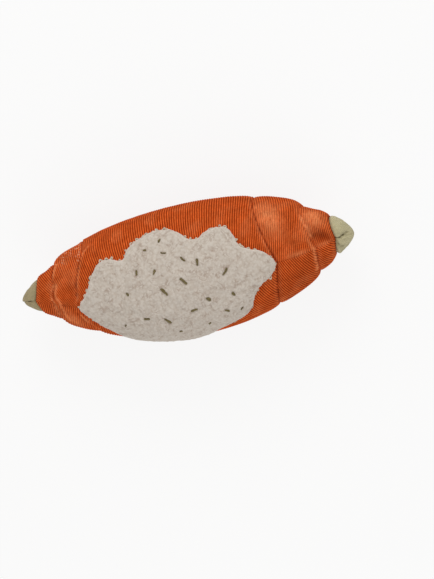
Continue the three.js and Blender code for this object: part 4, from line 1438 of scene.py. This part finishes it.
def new_material(name, roughness=0.9, sheen=0.0, sheen_roughness=0.5, sheen_tint=(1, 1, 1, 1), specular=0.25):
    material = bpy.data.materials.new(name)
    material.use_nodes = True
    shader = material.node_tree.nodes["Principled BSDF"]
    shader.inputs["Roughness"].default_value = roughness
    shader.inputs["Specular IOR Level"].default_value = specular
    shader.inputs["Sheen Weight"].default_value = sheen
    shader.inputs["Sheen Roughness"].default_value = sheen_roughness
    shader.inputs["Sheen Tint"].default_value = sheen_tint
    return material, material.node_tree, shader


def dye(tree, shader, place, base, patches, flecks, strength):
    """Gives a finish its colour, through the uneven dye."""
    inputs = {"Vector": place, "Color": base, "Patches": patches, "Flecks": flecks, "Strength": strength}
    tree.links.new(use(tree, MOTTLED, inputs), shader.inputs["Base Color"])


def bump(tree, shader, height, distance, strength):
    inputs = {"Height": height, "Distance": distance * MM, "Strength": strength}
    raised = node(tree, "ShaderNodeBump", inputs)
    tree.links.new(raised.outputs["Normal"], shader.inputs["Normal"])


def object_place(tree):
    return node(tree, "ShaderNodeTexCoord").outputs["Object"]


def corduroy_material():
    material, tree, shader = new_material("orange_corduroy", 1.0, 0.03, 0.4, colour(255, 130, 60), 0.05)
    place = object_place(tree)
    cloth = node(tree, "ShaderNodeUVMap", uv_map="cloth").outputs["UV"]
    # The cloth's map runs across the ribs, and then along them
    along = node(tree, "ShaderNodeMapping", {"Vector": cloth, "Scale": (CLOTH_MAP, 9, 1)}).outputs[0]
    strands = noise(tree, along, 1.0, 3.0)
    # The grooves between the ribs are painted dark as shade; the backs are paler, partly worn pile, partly
    # painted highlight
    back = remap(tree, stored(tree, "rib"), 0.2, 0.98)
    crown = mix(tree, remap(tree, strands, 0.35, 0.65), colour(218, 94, 36), colour(238, 114, 52))
    ribs = mix(tree, back, colour(136, 42, 8), crown)
    # Painted shade from the dark mask, towards a deep brown
    shade = calculate(tree, "MULTIPLY", stored(tree, "crease"), 0.6)
    with_painted_shade = mix(tree, shade, ribs, colour(104, 26, 2))
    # Pale fuzz from the pale mask, partly worn nap and partly painted highlight
    worn = calculate(tree, "MULTIPLY", stored(tree, "worn"), remap(tree, strands, 0.35, 0.65, 0.4, 1.0))
    with_wear_and_highlight = mix(tree, calculate(tree, "MULTIPLY", worn, 0.92, True), with_painted_shade, colour(236, 142, 90))
    balls = remap(tree, noise(tree, place, 520.0, 2.0), 0.54, 0.64, 0.0, 0.7)
    balled = calculate(tree, "MULTIPLY", stored(tree, "pilled"), balls)
    pilled = mix(tree, balled, with_wear_and_highlight, colour(242, 186, 150))
    dye(tree, shader, place, pilled, 110.0, 700.0, 0.6)
    nap = use(tree, NAP, {"Vector": place, "Scale": 1400.0})
    bump(tree, shader, nap, 0.35, 0.8)
    return material


def tip_material():
    material, tree, shader = new_material("green_tip_cloth", 0.9, 0.15, 0.5)
    place = object_place(tree)
    height = use(tree, WEAVE, {"Vector": place, "Scale": 420.0})
    across = node(tree, "ShaderNodeSeparateXYZ", {0: place}).outputs["X"]
    # Darker towards the left tip and lighter towards the right one
    towards_right_tip = remap(tree, across, -0.13, 0.13)
    between = mix(tree, towards_right_tip, colour(152, 137, 100), colour(176, 166, 128))
    crown = mix(tree, towards_right_tip, colour(200, 183, 145), colour(214, 206, 170))
    # The hollows between the threads are painted darker as shade, their crowns lighter
    threads = mix(tree, remap(tree, height, 0.1, 0.8), between, crown)
    # Painted shade in the folds and along the join, towards a dark olive
    with_painted_shade = mix(tree, calculate(tree, "MULTIPLY", stored(tree, "fold"), 0.7), threads, colour(98, 86, 52))
    dye(tree, shader, place, with_painted_shade, 180.0, 1200.0, 0.4)
    bump(tree, shader, height, 0.25, 0.6)
    return material


def fleece_material():
    material, tree, shader = new_material("cream_fleece", 1.0, 0.15, 0.6)
    place = object_place(tree)
    # Painted light and shade: the nubs' crowns lighter and the hollows between them darker
    nub = remap(tree, stored(tree, "nub"), 0.0, 0.7)
    crown = mix(tree, nub, colour(190, 177, 163), colour(204, 194, 182))
    # Painted shade: thin winding shadows between the fleece's curls, kept off the rim
    winding = noise(tree, place, 170.0, 1.0, Distortion=1.2)
    from_curl = calculate(tree, "ABSOLUTE", calculate(tree, "SUBTRACT", winding, 0.5))
    curl = remap(tree, from_curl, 0.0, 0.08, 0.66, 0.0)
    places = noise(tree, place, 190.0, 1.0)
    inner = calculate(tree, "SUBTRACT", 1.0, stored(tree, "rim"), True)
    curl_shade = calculate(tree, "MULTIPLY", curl, remap(tree, places, 0.42, 0.62))
    shaded = mix(tree, calculate(tree, "MULTIPLY", curl_shade, inner), crown, colour(156, 134, 118))
    # Painted highlight along the cut edge
    with_rim_highlight = mix(tree, calculate(tree, "MULTIPLY", stored(tree, "rim"), 0.7), shaded, colour(226, 218, 207))
    dye(tree, shader, place, with_rim_highlight, 130.0, 900.0, 0.12)
    nap = use(tree, NAP, {"Vector": place, "Scale": 900.0})
    bump(tree, shader, nap, 0.3, 0.45)
    return material


def thread_material(name, dark, light, roughness):
    material, tree, shader = new_material(name, roughness, 0.1, 0.4)
    place = object_place(tree)
    strands = use(tree, NAP, {"Vector": place, "Scale": 2200.0})
    base = mix(tree, remap(tree, strands, 0.35, 0.65), dark, light)
    dye(tree, shader, place, base, 260.0, 1600.0, 0.4)
    bump(tree, shader, strands, 0.12, 0.6)
    return material


def fibre_material():
    material, tree, shader = new_material("white_fibre", 1.0, 0.2, 0.6)
    place = object_place(tree)
    dye(tree, shader, place, colour(236, 233, 225), 90.0, 700.0, 0.15)
    bump(tree, shader, use(tree, NAP, {"Vector": place, "Scale": 500.0}), 1.5, 0.7)
    return material


def plastic_material():
    material, tree, shader = new_material("soft_squeaker_plastic", 0.4)
    place = object_place(tree)
    dye(tree, shader, place, colour(226, 229, 227), 70.0, 600.0, 0.08)
    rough = remap(tree, use(tree, NAP, {"Vector": place, "Scale": 300.0}), 0.2, 0.8, 0.32, 0.5)
    tree.links.new(rough, shader.inputs["Roughness"])
    return material


def brass_material():
    material, tree, shader = new_material("reed_brass", 0.35)
    shader.inputs["Metallic"].default_value = 1.0
    dye(tree, shader, object_place(tree), colour(201, 165, 75), 400.0, 2500.0, 0.2)
    return material


def dress(piece, material):
    if piece.data.materials:
        for slot in piece.material_slots:
            slot.material = material
    else:
        piece.data.materials.append(material)


def dress_everything():
    """Gives every visible piece the finish of the first of these words that its name holds."""
    finishes = {
        "corduroy": corduroy_material(),
        "stitches": thread_material("orange_thread", colour(140, 52, 20), colour(198, 96, 54), 0.7),
        "fleece": fleece_material(),
        "loops": thread_material("cream_yarn", colour(190, 172, 150), colour(216, 202, 183), 1.0),
        "chive": thread_material("olive_satin", colour(88, 77, 46), colour(134, 120, 80), 0.7),
        "filling": fibre_material(),
        "tip": tip_material(),
        "squeaker": plastic_material(),
    }
    brass = brass_material()
    for piece in bpy.context.scene.objects:
        if piece.type != "MESH" or piece.hide_render:
            continue
        word = next(word for word in finishes if word in piece.name)
        dress(piece, brass if piece.name == "squeaker_reed" else finishes[word])


# The camera

ROLL = math.radians(21.5)
YAW = math.radians(8)
TILT = math.radians(11.87)
CAMERA_DISTANCE = 4500
CAMERA_ASIDE = 24.6
CAMERA_BELOW = 20.8
LENS = 337.1
CAMERA_BACK = Vector((math.sin(YAW), math.cos(YAW) * math.sin(ROLL), math.cos(YAW) * math.cos(ROLL)))


def make_camera():
    level = Vector((math.cos(YAW), -math.sin(YAW) * math.sin(ROLL), -math.sin(YAW) * math.cos(ROLL)))
    upright = Vector((0, math.cos(ROLL), -math.sin(ROLL)))
    right = math.cos(TILT) * level - math.sin(TILT) * upright
    up = math.sin(TILT) * level + math.cos(TILT) * upright
    target = Vector((0, AXIS_Y, AXIS_HEIGHT))
    place = target + CAMERA_ASIDE * right - CAMERA_BELOW * up + CAMERA_DISTANCE * CAMERA_BACK
    camera = bpy.data.objects.new("camera", bpy.data.cameras.new("camera"))
    camera.data.lens = LENS
    camera.data.clip_end = 30
    turn = Matrix((right, up, CAMERA_BACK)).transposed().to_4x4()
    camera.matrix_world = Matrix.Translation(place * MM) @ turn
    bpy.context.scene.collection.objects.link(camera)
    bpy.context.scene.camera = camera


# Light and floor

SKY = 0.6
# Each lamp's name, its direction and distance from the toy and its size, in metres, and its power
LAMPS = [
    ["key", (0.1, 0.8, 0.58), 1.5, 0.7, 7.8],
    ["fill", (0.1, -0.9, 0.7), 1.6, 1.2, 4.5],
]


def make_light(name, direction, distance, size, power):
    data = bpy.data.lights.new(name, "AREA")
    data.shape = "DISK"
    data.size = size
    data.energy = power
    light = bpy.data.objects.new(name, data)
    light.location = Vector(direction).normalized() * distance
    light.rotation_euler = light.location.to_track_quat("Z", "Y").to_euler()
    bpy.context.scene.collection.objects.link(light)


def white_for_camera(tree, surface_shader, output_socket, strength):
    """Shows a surface nearly white to the camera and in reflections, while its shadows stay."""
    light_path = node(tree, "ShaderNodeLightPath").outputs
    seen = calculate(tree, "MAXIMUM", light_path["Is Camera Ray"], light_path["Is Glossy Ray"])
    seen = calculate(tree, "MAXIMUM", seen, light_path["Is Transmission Ray"])
    share = calculate(tree, "MULTIPLY", seen, strength)
    white = node(tree, "ShaderNodeEmission", {"Color": (1, 1, 1, 1), "Strength": 1.0}).outputs[0]
    mixed = node(tree, "ShaderNodeMixShader", {0: share, 1: surface_shader, 2: white}).outputs[0]
    tree.links.new(mixed, output_socket)


def make_studio():
    for name, direction, distance, size, power in LAMPS:
        make_light(name, direction, distance, size, power)
    deselect_all()
    bpy.ops.mesh.primitive_plane_add(size=6)
    floor = bpy.context.object
    floor.name = "floor"
    pale, tree, shader = new_material("pale_floor", 0.95)
    shader.inputs["Base Color"].default_value = colour(236, 235, 233)
    white_for_camera(tree, shader.outputs[0], tree.nodes["Material Output"].inputs["Surface"], 0.85)
    floor.data.materials.append(pale)
    world = bpy.data.worlds.new("studio")
    world.use_nodes = True
    tree = world.node_tree
    sky = tree.nodes["Background"]
    sky.inputs["Color"].default_value = (1, 1, 1, 1)
    sky.inputs["Strength"].default_value = SKY
    white_for_camera(tree, sky.outputs[0], tree.nodes["World Output"].inputs["Surface"], 1.0)
    bpy.context.scene.world = world
    bpy.context.scene.view_settings.view_transform = "Standard"


# The whole scene

make_camera()
make_cover("upper_cover", 1)
make_cover("lower_cover", -1)
for end, tip in ((-1, "pointed_tip"), (1, "round_tip")):
    for side, half in ((1, "upper"), (-1, "lower")):
        make_tip(f"{tip}_{half}", end, side)
make_topping()
make_edge_loops()
make_chives()
make_sewing()
make_wad("left_filling_fibre", "left_filling", -1)
make_wad("right_filling_fibre", "right_filling", 1)
dress_everything()
make_studio()
